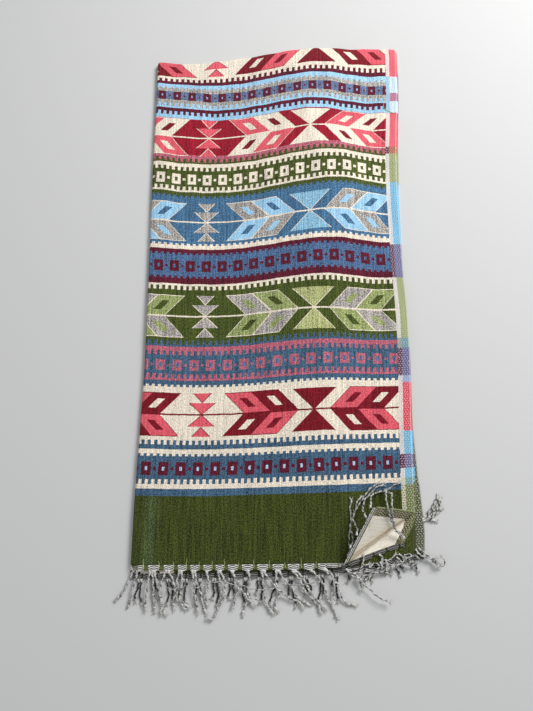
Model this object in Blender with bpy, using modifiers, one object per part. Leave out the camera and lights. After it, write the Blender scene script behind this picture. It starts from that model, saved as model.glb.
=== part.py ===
# A heavy woven shawl, folded lengthwise and then crosswise, lying flat.
# Four layers lie on each other: the two folds are at the left and far sides,
# the selvedges at the right and the fringed ends at the near side. The top
# layer's near right corner is turned back over the cloth.
# Plan coordinates start at the left fold and at the top layer's woven end:
# x runs to the right, y runs away from the fringe, z is up from the floor.
import math

import bmesh
import bpy
import numpy as np
from mathutils import Vector

# Driving dimensions, in metres
FOLDED_WIDTH = 0.400         # left fold to selvedge
FOLDED_LENGTH = 0.833        # woven end to far fold
CLOTH = 0.0016               # one layer of the weave
LAYER_GAP = 0.0008           # between the top layer and the layers under it
SEAM = 0.0005                # between a cloth edge and its edging
STACK = 0.0068               # height of the top face where the cloth lies flat
EDGE_ROUND = 0.0045          # reach of the rounding at the two folds
FAR_TURN = FOLDED_LENGTH - EDGE_ROUND
WRAP_FOOT = 0.0036           # height at which the top layer's rounding ends
WRAP_END = math.radians(110)
FOLD_SETBACK = 0.0014        # from where a fold turns down to the hidden layers' rim
LOWER_LAYERS = 0.0032        # height of the two lowest layers together
LIFT_START = 0.080           # beyond this the second layer rises off those two
EDGING = 0.0075              # width of the twined edging
STRAND = 0.0010              # half the width of a fringe strand
ROOT_SPACING = 0.0016        # from the middle of a tassel to each of its two roots
EDGE_BEVEL = 0.0005          # rounding of a layer's edge
GROOVE = 0.0008              # depth of the grooves between the layers' edges
CENTRE_X = 0.20916           # plan place of the part's origin
CENTRE_Y = 0.39374

# The turned corner: its crest runs between these two plan points
CREST_SELVEDGE = Vector((0.3980, 0.0715))
CREST_END = Vector((0.2990, 0.0034))
CURL_INNER = 0.0034          # radius of the curl on the face side
CURL_ANGLE = math.radians(140)
CURL_LEAN = 0.15             # shear of the turned cloth towards the woven end

# Rows along the cloth, by the distance y from its woven end:
# bow: how far the weft at the right lies beyond the weft at the left
# hump: how far it lies beyond that again where it crosses the long soft ridge
# lift: how far it lies beyond at the left fold
# ridge, crest: the height of the ridge and where its top lies
# left: the left fold; face, inner, under: the right selvedge of each layer
ROWS = {
    "y":     (.000, .030, .060, .091, .180, .283, .360, .443, .572, .641, .731, .785, .829),
    "bow":   (.004, .006, .008, .010, .011, .011, .010, .009, .011, .013, .010, .012, .012),
    "hump":  (.000, .000, .000, .000, .002, .005, .006, .008, .009, .008, .005, .008, .008),
    "lift":  (.000, .000, .000, .001, .002, .003, .003, .004, .006, .006, .006, .006, .004),
    "ridge": (.001, .002, .003, .004, .006, .009, .013, .018, .022, .021, .018, .017, .015),
    "crest": (.288, .288, .285, .280, .275, .268, .262, .278, .300, .285, .264, .272, .280),
    "left":  (-.001, -.001, -.001, -.001, .001, .003, .002, .001, -.001, -.002, -.002, -.003,
              -.003),
    "face":  (.397, .398, .398, .398, .400, .405, .405, .402, .401, .404, .411, .413, .414),
    "inner": (.381, .395, .402, .402, .402, .406, .405, .403, .403, .407, .413, .415, .416),
    "under": (.408, .410, .409, .407, .403, .406, .405, .403, .406, .409, .415, .418, .419),
}
# Columns across the cloth, by the distance x from its left fold: how far the
# two hidden woven ends and the far fold lie beyond their straight lines
COLUMNS = {
    "x":     (.000, .060, .085, .120, .150, .234, .299, .340, .365, .400),
    "inner": (-.004, -.005, -.005, -.005, -.005, -.006, -.005, .009, .017, .027),
    "under": (-.012, -.012, -.012, -.011, -.011, -.010, -.006, .000, .005, .012),
    "far":   (-.008, -.008, -.004, .000, .002, .001, -.001, .006, .013, .005),
}
FAR_REACH = 0.07             # how far back from the far fold its line is felt
LIFT_REACH = 0.085           # how far in from the left fold its lift is felt
END_REACH = 0.15             # how far up the cloth an end's own line is felt
ROUNDING = 0.020             # half the window that rounds a table's corners
PLAIN_ROWS = 0.060           # nearer the woven end than this the rows aren't rounded

# Cross-section of the ridge and of the soft swelling behind the folds
RIDGE_FOOT = 0.118
RIDGE_FALL = 0.105           # from the crest down to the flat on its right
RIDGE_AT_SELVEDGE = 0.20     # share of its height left at the selvedge
SWELL = 0.0024
SWELL_PLACE = 0.016
SWELL_WIDTH = 0.026
BOW_START = 0.095
BOW_POWER = 1.2              # how late the bow builds up towards the selvedge

# Where the surface is divided: across, along, and round a fold
ACROSS = (0.000, 0.012, 0.028, 0.050, 0.075, 0.100, 0.125, 0.150, 0.175, 0.200, 0.222,
          0.244, 0.264, 0.280, 0.296, 0.312, 0.330, 0.348, 0.366, 0.384, 0.400)
ALONG_STEPS = 38
CLOSER_ROWS = (0.026, 0.010)  # back from the far fold, where the cloth swells
FOLD_ANGLES = (WRAP_END, math.radians(78), math.radians(40))
CURL_STEPS = 5               # round the curl of the turned corner
FLAT_STEPS = 4               # from the curl to the corner's tip
SHARP_EDGE = math.radians(40)

COLOURS = {
    "front_panel": (0.30, 0.07, 0.06),
    "under_layers": (0.62, 0.53, 0.38),
    "fringe_front": (0.36, 0.35, 0.34),
    "fringe_corner": (0.36, 0.35, 0.34),
    "fringe_inner": (0.36, 0.35, 0.34),
    "fringe_under": (0.30, 0.29, 0.28),
    "fringe_side": (0.30, 0.29, 0.28),
}


def clear_scene():
    for item in list(bpy.data.objects):
        bpy.data.objects.remove(item, do_unlink=True)


def smooth(t):
    t = min(max(t, 0.0), 1.0)
    return t * t * (3.0 - 2.0 * t)


def read_table(table, key, column, place):
    """A column of a table at a place, its corners rounded by a running mean."""
    window = np.linspace(-ROUNDING, ROUNDING, 5)
    return float(np.mean(np.interp(place + window, table[key], table[column])))


def rows(column, y):
    """A column of the rows' table at a distance from the woven end."""
    if y < PLAIN_ROWS:
        return float(np.interp(y, ROWS["y"], ROWS[column]))
    return read_table(ROWS, "y", column, y)


def ridge_share(x, y):
    """Share of the ridge's height that the cloth has at a place."""
    crest = rows("crest", y)
    if x < crest:
        return smooth((x - RIDGE_FOOT) / (crest - RIDGE_FOOT))
    return 1.0 - (1.0 - RIDGE_AT_SELVEDGE) * smooth((x - crest) / RIDGE_FALL)


def plan(u, v, layer):
    """Plan place of the point u across and v along one layer."""
    left = rows("left", v) + (0.0 if layer == "under" else EDGE_ROUND)
    x = left + (rows(layer, v) - left) * u / FOLDED_WIDTH
    share = max(0.0, (x - BOW_START) / (FOLDED_WIDTH - BOW_START))
    y = v + rows("bow", v) * share ** BOW_POWER + rows("hump", v) * ridge_share(x, v)
    y += rows("lift", v) * max(0.0, 1.0 - x / LIFT_REACH) ** 2
    if layer != "face":
        end = read_table(COLUMNS, "x", layer, u)
        y += end * max(0.0, 1.0 - v / END_REACH) ** 2
    far = read_table(COLUMNS, "x", "far", u)
    return x, y + far * smooth((v - FAR_TURN + FAR_REACH) / FAR_REACH)


def height(x, y):
    """Height of the top face: flat cloth, the long ridge and the swollen folds."""
    left_swell = math.exp(-((x - SWELL_PLACE) / SWELL_WIDTH) ** 2)
    far_line = FOLDED_LENGTH + rows("bow", y) * max(0.0, x / FOLDED_WIDTH)
    far_swell = math.exp(-((y - far_line + SWELL_PLACE) / SWELL_WIDTH) ** 2)
    swell = 1.0 - (1.0 - left_swell) * (1.0 - far_swell)
    return STACK + rows("ridge", y) * ridge_share(x, y) + SWELL * swell


def folded_point(u, v, left_angle, far_angle, depth):
    """A point below the top face, carried round the left or far fold by an angle."""
    x, y = plan(u, v, "face")
    top = height(x, y)
    turn = max(left_angle, far_angle)
    if turn == 0.0:
        return Vector((x, y, top - depth))
    out = Vector((-left_angle, far_angle)).normalized() * (EDGE_ROUND - depth) * math.sin(turn)
    radius = (top - WRAP_FOOT) / (1.0 - math.cos(WRAP_END))
    return Vector((x + out.x, y + out.y, top - radius + (radius - depth) * math.cos(turn)))


# The turned corner's own axes in plan: along its crest, and out to the corner
CREST_DIRECTION = (CREST_SELVEDGE - CREST_END).normalized()
CREST_NORMAL = Vector((CREST_DIRECTION.y, -CREST_DIRECTION.x))
CURL_START = CREST_END - CREST_NORMAL * (CURL_INNER + CLOTH)
CURL_ARC = (CURL_INNER + CLOTH / 2.0) * CURL_ANGLE


def turned_point(flat):
    """A point of the flat face beyond the curl's start, curled up and back."""
    offset = Vector((flat.x, flat.y)) - CURL_START
    along = offset.dot(CREST_DIRECTION)
    run = offset.dot(CREST_NORMAL)
    if run <= 0.0:
        return Vector(flat)
    turn = min(run, CURL_ARC) / CURL_ARC * CURL_ANGLE
    straight = max(run - CURL_ARC, 0.0)
    reach = CURL_INNER * math.sin(turn) + straight * math.cos(CURL_ANGLE)
    lift = CURL_INNER * (1.0 - math.cos(turn)) + straight * math.sin(CURL_ANGLE)
    place = CURL_START + CREST_DIRECTION * (along - CURL_LEAN * straight) + CREST_NORMAL * reach
    return Vector((place.x, place.y, flat.z + lift))


def new_object(name, mesh, collection):
    """Link a mesh as a finished sub-part with its own cloth material."""
    material = bpy.data.materials.new(name)
    material.use_nodes = True
    shader = material.node_tree.nodes["Principled BSDF"]
    shader.inputs["Base Color"].default_value = (*COLOURS[name], 1.0)
    shader.inputs["Roughness"].default_value = 0.9
    shader.inputs["Metallic"].default_value = 0.0
    mesh.materials.append(material)
    item = bpy.data.objects.new(name, mesh)
    item.location = (-CENTRE_X, -CENTRE_Y, 0.0)
    collection.objects.link(item)
    return item


def mesh_from(name, bm):
    bmesh.ops.recalc_face_normals(bm, faces=bm.faces)
    mesh = bpy.data.meshes.new(name)
    bm.to_mesh(mesh)
    bm.free()
    mesh.shade_smooth()
    mesh.set_sharp_from_angle(angle=SHARP_EDGE)
    return mesh


def grid_faces(bm, grid):
    """Quads between the points of a grid, given row by row."""
    for near, far in zip(grid, grid[1:]):
        for a, b, c, d in zip(near, near[1:], far[1:], far):
            bm.faces.new((a, b, c, d))


def along_stations():
    """Even rows, with closer ones where the far fold swells."""
    last = FAR_TURN - 2.0 * CLOSER_ROWS[0]
    even = [last * step / ALONG_STEPS for step in range(ALONG_STEPS + 1)]
    return even + [FAR_TURN - back for back in CLOSER_ROWS] + [FAR_TURN]


def front_panel(collection):
    """The top layer: one wall from its woven end round both folds, corner turned."""
    columns = [(0.0, angle) for angle in FOLD_ANGLES] + [(u, 0.0) for u in ACROSS]
    lines = [(v, 0.0) for v in along_stations()]
    lines += [(FAR_TURN, angle) for angle in reversed(FOLD_ANGLES)]
    bm = bmesh.new()
    grid = [[bm.verts.new(folded_point(u, v, left, far, 0.0)) for u, left in columns]
            for v, far in lines]
    grid_faces(bm, grid)
    corner = grid[0][-1].co.copy()

    cut_point = Vector((CURL_START.x, CURL_START.y, 0.0))
    cut_normal = Vector((CREST_NORMAL.x, CREST_NORMAL.y, 0.0))
    everything = bm.verts[:] + bm.edges[:] + bm.faces[:]
    bmesh.ops.bisect_plane(bm, geom=everything, dist=1e-6, plane_co=cut_point,
                           plane_no=cut_normal, clear_outer=True)
    on_cut = [vert for vert in bm.verts
              if abs((vert.co - cut_point).dot(cut_normal)) < 1e-5]
    on_cut.sort(key=lambda vert: vert.co.x)
    turned_rows(bm, on_cut, corner)

    item = new_object("front_panel", mesh_from("front_panel", bm), collection)
    wall = item.modifiers.new("Wall", "SOLIDIFY")
    wall.thickness = CLOTH
    wall.offset = -1.0
    wall.use_even_offset = True


def turned_rows(bm, on_cut, corner):
    """Rows of the turned corner, from the cut line to the corner's own point."""
    first = on_cut[0].co.copy()
    last = on_cut[-1].co.copy()
    span = (last - first).length
    shares = [(vert.co - first).length / span for vert in on_cut]
    depth = (Vector((corner.x, corner.y)) - CURL_START).dot(CREST_NORMAL)
    curl_runs = [CURL_ARC * step / CURL_STEPS for step in range(1, CURL_STEPS + 1)]
    flat_runs = [CURL_ARC + (depth - CURL_ARC) * step / FLAT_STEPS
                 for step in range(1, FLAT_STEPS)]
    previous = on_cut
    for run in curl_runs + flat_runs:
        t = run / depth
        start = first.lerp(corner, t)
        end = last.lerp(corner, t)
        row = [bm.verts.new(turned_point(start.lerp(end, share))) for share in shares]
        grid_faces(bm, [previous, row])
        previous = row
    tip = bm.verts.new(turned_point(corner))
    for a, b in zip(previous, previous[1:]):
        bm.faces.new((a, b, tip))


def perimeter(lines):
    """Once round the cloth: its (u, v), outward way and whether a fold is there."""
    loop = [(u, 0.0, (0.0, -1.0), False) for u in ACROSS[:-1]]
    loop += [(FOLDED_WIDTH, v, (1.0, 0.0), False) for v in lines[:-1]]
    loop += [(u, FAR_TURN, (0.0, 1.0), True) for u in reversed(ACROSS[1:])]
    loop += [(0.0, v, (-1.0, 0.0), True) for v in reversed(lines[1:])]
    return loop


def fold_ring(u, v, out, number):
    """The eight points down a folded side: inside the wrap, then the lower fold."""
    depth = CLOTH + LAYER_GAP * (1.0 if number == 0 else 2.0)
    x, y = plan(u, v, "inner")
    if number < 3:
        turn = (0.0, FOLD_ANGLES[2], FOLD_ANGLES[1])[number]
        top = height(x, y)
        radius = (top - WRAP_FOOT) / (1.0 - math.cos(WRAP_END))
        reach = (EDGE_ROUND - depth) * math.sin(turn) if number else -FOLD_SETBACK
        z = top - radius + (radius - depth) * math.cos(turn)
        return Vector((x + out[0] * reach, y + out[1] * reach, z))
    ledge = WRAP_FOOT - LAYER_GAP
    reach = EDGE_ROUND - (depth, EDGE_BEVEL, 0.0, 0.0, GROOVE)[number - 3]
    z = (ledge, ledge, ledge * 0.7, ledge * 0.3, 0.0)[number - 3]
    return Vector((x + out[0] * reach, y + out[1] * reach, z))


def open_ring(u, v, out, number):
    """The eight points down an open side: three rounded layer edges, two grooves."""
    layer = "inner" if number < 3 else "under"
    inset = (EDGE_BEVEL, 0.0, GROOVE, EDGE_BEVEL, 0.0, GROOVE, 0.0, EDGE_BEVEL)[number]
    x, y = plan(u, v, layer)
    if number < 3:
        drop = CLOTH + LAYER_GAP + (0.0, CLOTH * 0.5, CLOTH)[number]
        z = height(x, y) - drop
        if number == 2:
            lifted = smooth((v - LIFT_START) / LIFT_START)
            z = LOWER_LAYERS + (z - LOWER_LAYERS) * lifted
    else:
        z = LOWER_LAYERS * (1.0, 0.75, 0.5, 0.25, 0.0)[number - 3]
    return Vector((x - out[0] * inset, y - out[1] * inset, z))


def under_layers(collection):
    """The three hidden layers: a top grid, eight rings down its sides, a flat base."""
    bm = bmesh.new()
    lines = along_stations()
    loop = perimeter(lines)
    rings = []
    for number in range(8):
        ring = []
        for u, v, out, folded in loop:
            point = fold_ring if folded else open_ring
            ring.append(bm.verts.new(point(u, v, out, number)))
        rings.append(ring + ring[:1])
    grid_faces(bm, rings)
    bm.faces.new(rings[-1][:-1])

    rim = {}
    for (u, v, _, _), vert in zip(loop, rings[0]):
        rim[(u, v)] = vert
    grid = []
    for v in lines:
        row = []
        for u in ACROSS:
            vert = rim.get((u, v))
            if vert is None:
                x, y = plan(u, v, "inner")
                vert = bm.verts.new((x, y, height(x, y) - CLOTH - LAYER_GAP))
            row.append(vert)
        grid.append(row)
    grid_faces(bm, grid)
    new_object("under_layers", mesh_from("under_layers", bm), collection)


def edging(name, path, spread, strands, collection):
    """A twined strip along a path, with its strands drawn out of its outer side.

    path(t, reach) gives the point of the strip's top at a distance beyond the
    cloth's edge, and the way up there. Each strand is the t of its root and the
    points that it follows.
    """
    bm = bmesh.new()
    stations = sorted(set(spread) | {t + side * STRAND for t, _ in strands
                                     for side in (-1.0, 1.0)})
    sections = []
    for t in stations:
        near, near_up = path(t, SEAM)
        far, far_up = path(t, SEAM + EDGING)
        section = (near, far, far - far_up * CLOTH, near - near_up * CLOTH)
        sections.append([bm.verts.new(point) for point in section])
    outer = {}
    for t, first, second in zip(stations, sections, sections[1:]):
        for side in range(4):
            after = (side + 1) % 4
            face = bm.faces.new((first[side], first[after], second[after], second[side]))
            if side == 1:
                outer[t] = face
    bm.faces.new(sections[0])
    bm.faces.new(list(reversed(sections[-1])))
    for t, points in strands:
        draw_strand(bm, outer[t - STRAND], points)
    new_object(name, mesh_from(name, bm), collection)


def draw_strand(bm, face, points):
    """Pull one face of the strip out along its points as a four-sided strand."""
    route = [face.calc_center_median()] + [Vector(point) for point in points]
    root = [vert.co.copy() for vert in face.verts]
    across = (root[3] - root[0]).normalized()
    for number in range(1, len(route)):
        ahead = route[min(number + 1, len(route) - 1)] - route[number - 1]
        ahead.normalize()
        across = (across - ahead * across.dot(ahead)).normalized()
        raised = ahead.cross(across)
        made = bmesh.ops.extrude_discrete_faces(bm, faces=[face])
        face = made["faces"][0]
        for vert, (sideways, upward) in zip(face.verts, STRAND_CORNERS):
            vert.co = route[number] + (across * sideways + raised * upward) * STRAND


def curve_between(start, end, sway):
    """Points from a root to a tip, swaying once to each side on the way."""
    points = []
    for step in range(1, STRAND_STEPS + 1):
        t = step / STRAND_STEPS
        eased = (1.0 - SWAY_EASE) * t + SWAY_EASE * smooth(t)
        x = start.x + (end.x - start.x) * eased + sway * math.sin(math.tau * t)
        y = start.y + (end.y - start.y) * t
        z = start.z + (end.z - start.z) * t
        points.append((x, y, z))
    return points


def root_point(path, t):
    """The middle of the strip's outer side, where a strand starts."""
    far, up = path(t, SEAM + EDGING)
    return far - up * CLOTH / 2.0


def spread_between(first, last, strands):
    """The cloth's own divisions between two places, where no strand is rooted."""
    inner = [u for u in ACROSS if first + STRAND < u < last - STRAND
             and all(abs(u - root) > 2.0 * STRAND for root, _ in strands)]
    return [first] + inner + [last]


def pair_of_roots(place):
    """The roots of the two strands of one tassel, side by side."""
    return (place - ROOT_SPACING, place + ROOT_SPACING)


# Tips of the top layer's strands in plan, in order across, two to a tassel
FRONT_TIPS = (
    (-0.018, -0.046), (-0.003, -0.054), (0.022, -0.058), (0.033, -0.059), (0.043, -0.063),
    (0.054, -0.061), (0.064, -0.050), (0.076, -0.059), (0.086, -0.053), (0.096, -0.061),
    (0.106, -0.061), (0.118, -0.068), (0.128, -0.050), (0.141, -0.054), (0.153, -0.064),
    (0.169, -0.052), (0.184, -0.046), (0.196, -0.061), (0.206, -0.057), (0.217, -0.050),
    (0.228, -0.056), (0.240, -0.057), (0.251, -0.051), (0.262, -0.061), (0.273, -0.058),
    (0.283, -0.048), (0.296, -0.067), (0.309, -0.052),
)
FIRST_TASSEL = 0.010
TASSEL_PITCH = 0.0198
FRONT_END = 0.2715           # the top layer's end curls up beyond this
FRONT_LEVEL = 0.0044         # height of the top layer's strands at their tips
FRONT_SWAY = (-0.0010, 0.0012)
STRAND_STEPS = 5             # straight pieces in a strand
SWAY_EASE = 0.65             # how much of a strand's sideways way is eased in and out
# The lowest layers' tassels: how many, where, how long, how they slant
UNDER_TASSELS = 19
UNDER_FIRST = 0.012
UNDER_PITCH = 0.0205
UNDER_LENGTH = 0.030
UNDER_SLANT = 0.0035
UNDER_SPLAY = 0.0020         # how far the two strands of a tassel lean apart
UNDER_SWAY = 0.0007
UNDER_TIP = 0.0014           # height of a tip above the floor
SHORT_START = 0.288          # beyond this they are shorter and blown to the right
SHORT_SHARE = 0.62
BLOWN = 0.010
# Root along the turned edging to the strand's plan places and heights above the face
CORNER_ROUTES = {
    0.0480: ((0.2945, 0.0260, 0.016), (0.2925, 0.0350, 0.010), (0.2935, 0.0470, 0.0040),
             (0.2965, 0.0620, 0.0018), (0.2995, 0.0780, 0.0016)),
    0.0650: ((0.3005, 0.0400, 0.021), (0.2990, 0.0500, 0.015), (0.3025, 0.0630, 0.0060),
             (0.3075, 0.0780, 0.0018), (0.3120, 0.0920, 0.0016)),
    0.0820: ((0.3065, 0.0530, 0.027), (0.3060, 0.0630, 0.020), (0.3100, 0.0760, 0.0090),
             (0.3170, 0.0880, 0.0022), (0.3260, 0.0990, 0.0016)),
    0.0990: ((0.3130, 0.0660, 0.033), (0.3135, 0.0760, 0.025), (0.3200, 0.0870, 0.0110),
             (0.3300, 0.0970, 0.0030), (0.3420, 0.1080, 0.0018)),
    0.1160: ((0.3200, 0.0800, 0.040), (0.3225, 0.0895, 0.029), (0.3330, 0.0970, 0.0150),
             (0.3450, 0.1020, 0.0050), (0.3600, 0.1070, 0.0018)),
}
CORNER_GAP = 0.0006          # between the two stretches of the top layer's edging
CORNER_SPREAD = (0.000, 0.005, 0.010, 0.015, 0.020, 0.025, 0.030, 0.035, 0.040, 0.045,
                 0.057, 0.0735, 0.0905, 0.1075, 0.1235)
# The second layer's strands: root across the cloth, then how far each runs
INNER_STRANDS = ((0.332, 0.012, -0.010), (0.348, 0.015, -0.012), (0.364, 0.018, -0.014),
                 (0.380, 0.021, -0.016), (0.395, 0.024, -0.018))
INNER_ENDS = (0.304, 0.399)
INNER_SWAY = 0.0008
# The loose tassel past the right selvedge: its strip, then each strand's points
SIDE_ENDS = (0.052, 0.068)
SIDE_LEVEL = 0.0026
SIDE_STRANDS = {
    0.0570: ((0.4195, 0.0570, 0.0017), (0.4225, 0.0570, 0.0016), (0.4270, 0.0578, 0.0015)),
    0.0625: ((0.4200, 0.0640, 0.0017), (0.4240, 0.0700, 0.0016), (0.4300, 0.0760, 0.0015),
             (0.4345, 0.0820, 0.0014), (0.4362, 0.0890, 0.0014)),
}
# Corners of a strand's section, in the order of the strip's outer faces
STRAND_CORNERS = ((-1.0, 0.8), (-1.0, -0.8), (1.0, -0.8), (1.0, 0.8))


def fringe_front(collection):
    """The top layer's twined end up to the turned corner, and its tassels."""
    def path(u, reach):
        return beyond_end(u, reach, "face"), Vector((0.0, 0.0, 1.0))

    strands = []
    for number, tip in enumerate(FRONT_TIPS):
        place = FIRST_TASSEL + TASSEL_PITCH * (number // 2)
        root = pair_of_roots(place)[number % 2]
        end = Vector((*tip, FRONT_LEVEL))
        route = curve_between(root_point(path, root), end, FRONT_SWAY[number % 2])
        strands.append((root, route))
    spread = spread_between(0.0, FRONT_END, strands)
    edging("fringe_front", path, spread, strands, collection)


def woven_end(u, layer):
    """A point of a layer's woven end, straight between the cloth's divisions."""
    corners = [plan(place, 0.0, layer) for place in ACROSS]
    x = np.interp(u, ACROSS, [corner[0] for corner in corners])
    y = np.interp(u, ACROSS, [corner[1] for corner in corners])
    z = np.interp(u, ACROSS, [height(*corner) for corner in corners])
    return Vector((x, y, z))


def beyond_end(u, reach, layer):
    """A point at a distance square out from a layer's woven end."""
    step = 0.002
    before = woven_end(u - step, layer)
    after = woven_end(u + step, layer)
    way = (after - before).normalized()
    return woven_end(u, layer) + Vector((way.y, -way.x, 0.0)) * reach


def fringe_under(collection):
    """The two lowest layers' twined ends and their tassels, close to the floor."""
    top_level = LOWER_LAYERS - EDGE_BEVEL

    def path(u, reach):
        place = beyond_end(u, reach, "under")
        return Vector((place.x, place.y, top_level)), Vector((0.0, 0.0, 1.0))

    strands = []
    for number in range(2 * UNDER_TASSELS):
        tassel = number // 2
        place = UNDER_FIRST + UNDER_PITCH * tassel
        side = number % 2
        root = pair_of_roots(place)[side]
        uneven = 0.27 * math.sin(1.9 * number) + 0.13 * math.sin(4.3 * number)
        length = UNDER_LENGTH * (1.0 + uneven)
        if place > SHORT_START:
            length *= SHORT_SHARE
        slant = UNDER_SLANT * math.sin(1.3 * tassel) + UNDER_SPLAY * (2 * side - 1)
        slant += BLOWN * smooth((place - SHORT_START) / (FOLDED_WIDTH - SHORT_START))
        start = root_point(path, root)
        end = Vector((start.x + slant, start.y - length, UNDER_TIP))
        strands.append((root, curve_between(start, end, UNDER_SWAY)))
    spread = spread_between(0.001, 0.399, strands)
    edging("fringe_under", path, spread, strands, collection)


def fringe_corner(collection):
    """The top layer's twined end on the turned corner, its strands on the cloth."""
    flat_z = height(CREST_END.x, CREST_END.y)
    corner = Vector((*plan(FOLDED_WIDTH, 0.0, "face"), flat_z))
    start = Vector((*plan(FRONT_END + CORNER_GAP, 0.0, "face"), flat_z))
    line = (corner - start).normalized()
    across = Vector((line.y, -line.x, 0.0))
    step = 0.0005

    def path(t, reach):
        flat = start + line * t + across * reach
        here = turned_point(flat)
        out = turned_point(flat + across * step) - here
        way = turned_point(flat + line * step) - here
        return here, way.cross(out).normalized() * -1.0

    strands = []
    for root, route in CORNER_ROUTES.items():
        points = [(x, y, height(x, y) + lift) for x, y, lift in route]
        strands.append((root, points))
    edging("fringe_corner", path, CORNER_SPREAD, strands, collection)


def fringe_inner(collection):
    """The second layer's twined end where the turned corner lays it bare."""
    drop = CLOTH + LAYER_GAP

    def path(u, reach):
        place = beyond_end(u, reach, "inner")
        return Vector((place.x, place.y, place.z - drop)), Vector((0.0, 0.0, 1.0))

    strands = []
    for place, sideways, outward in INNER_STRANDS:
        start = root_point(path, place)
        end = start + Vector((sideways, outward, 0.0))
        strands.append((place, curve_between(start, end, INNER_SWAY)))
    spread = spread_between(*INNER_ENDS, strands)
    edging("fringe_inner", path, spread, strands, collection)


def fringe_side(collection):
    """The loose tassel past the right selvedge, on a short strip of edging."""
    def path(y, reach):
        edge = rows("under", y - rows("bow", y))
        return Vector((edge + reach, y, SIDE_LEVEL)), Vector((0.0, 0.0, 1.0))

    strands = list(SIDE_STRANDS.items())
    edging("fringe_side", path, SIDE_ENDS, strands, collection)


def build():
    clear_scene()
    collection = bpy.data.collections.new("folded_shawl")
    bpy.context.scene.collection.children.link(collection)
    front_panel(collection)
    under_layers(collection)
    fringe_front(collection)
    fringe_corner(collection)
    fringe_inner(collection)
    fringe_under(collection)
    fringe_side(collection)


build()
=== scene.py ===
import math

import bmesh
import bpy
import numpy as np
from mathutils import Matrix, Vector


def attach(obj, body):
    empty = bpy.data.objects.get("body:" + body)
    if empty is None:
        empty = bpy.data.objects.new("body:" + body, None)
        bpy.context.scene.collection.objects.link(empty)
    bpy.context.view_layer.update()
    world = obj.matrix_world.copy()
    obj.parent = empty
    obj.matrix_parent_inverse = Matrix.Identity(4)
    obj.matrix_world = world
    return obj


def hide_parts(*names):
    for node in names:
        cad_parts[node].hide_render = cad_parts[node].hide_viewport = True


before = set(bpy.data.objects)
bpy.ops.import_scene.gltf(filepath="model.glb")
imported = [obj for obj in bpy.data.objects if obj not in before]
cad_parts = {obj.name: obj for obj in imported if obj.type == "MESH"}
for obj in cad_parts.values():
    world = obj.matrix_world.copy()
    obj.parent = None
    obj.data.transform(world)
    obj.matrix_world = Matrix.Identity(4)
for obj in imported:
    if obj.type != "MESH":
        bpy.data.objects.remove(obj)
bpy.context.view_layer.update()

# A woven shawl folded in four, with twined and fringed ends and one corner turned back.
# Cloth places are u across from the left fold and v along from the woven end, in metres.

print("frame:", ", ".join(sorted(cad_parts)))

fold = {
    "width": 0.400,          # left fold to selvedge
    "length": 0.833,         # woven end to far fold
    "wall": 0.0016,
    "gap": 0.0008,           # between one layer and the next
    "stack": 0.0068,         # height of the face where it lies flat
    "round": 0.0045,         # reach of the rounding at the folds
    "foot": 0.0036,          # height where the left rounding ends
    "turn": math.radians(110),
    "lower": 0.0032,         # the two lowest layers together
    "seam": 0.0005,          # from the cloth's end to its edging
    "centre": (0.20916, 0.39374),
}
farTurn = fold["length"] - fold["round"]

# By distance y from the woven end: bow, hump and lift are how far the weft runs ahead at
# the right, over the ridge and at the left; ridge and crest its height and place; left,
# face, inner and under the edges of the layers
rowTable = {
    "y":     (.000, .030, .060, .091, .180, .283, .360, .443, .572, .641, .731, .785, .829),
    "bow":   (.004, .006, .008, .010, .011, .011, .010, .009, .011, .013, .010, .012, .012),
    "hump":  (.000, .000, .000, .000, .002, .005, .006, .008, .009, .008, .005, .008, .008),
    "lift":  (.000, .000, .000, .001, .002, .003, .003, .004, .006, .006, .006, .006, .004),
    "ridge": (.001, .002, .003, .004, .006, .009, .013, .018, .022, .021, .018, .017, .015),
    "crest": (.288, .288, .285, .280, .275, .268, .262, .278, .300, .285, .264, .272, .280),
    "left":  (-.001, -.001, -.001, -.001, .001, .003, .002, .001, -.001, -.002, -.002, -.003,
              -.003),
    "face":  (.397, .398, .398, .398, .400, .405, .405, .402, .401, .404, .411, .413, .414),
    "inner": (.381, .395, .402, .402, .402, .406, .405, .403, .403, .407, .413, .415, .416),
    "under": (.408, .410, .409, .407, .403, .406, .405, .403, .406, .409, .415, .418, .419),
}
# By distance x from the left fold: how far the hidden ends and the far fold run ahead
columnTable = {
    "x":     (.000, .060, .085, .120, .150, .234, .299, .340, .365, .400),
    "inner": (-.004, -.005, -.005, -.005, -.005, -.006, -.005, .009, .017, .027),
    "under": (-.012, -.012, -.012, -.011, -.011, -.010, -.006, .000, .005, .012),
    "far":   (-.008, -.008, -.004, .000, .002, .001, -.001, .006, .013, .005),
}
# Creases, listed one by one: from (x, y) to (x, y), half width and lift
creaseTable = {
    "from":  ((.100, .440), (.060, .690), (.083, .728), (.192, .748), (.238, .318), (.283, .500),
              (.291, .500), (.131, .165), (.118, .160), (.142, .050), (.196, .052), (.205, .590),
              (.240, .600), (.026, .300), (.200, .640), (.345, .380), (.352, .620), (.150, .790)),
    "to":    ((.096, .815), (.056, .815), (.097, .782), (.184, .806), (.236, .405), (.282, .548),
              (.288, .625), (.127, .255), (.117, .262), (.172, .033), (.205, .020), (.172, .625),
              (.236, .640), (.022, .640), (.180, .720), (.350, .520), (.366, .760), (.190, .815)),
    "half":  (.020, .014, .006, .0045, .0065, .0035,
              .0060, .0045, .0040, .0040, .0050, .0060,
              .0050, .010, .008, .014, .014, .007),
    "lift":  (-.0016, .0016, -.0013, .0010, .0011, -.0017,
              .0013, .0013, .0011, .0010, .0009, .0010,
              .0009, .0008, .0008, -.0011, -.0013, -.0009),
}


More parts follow.
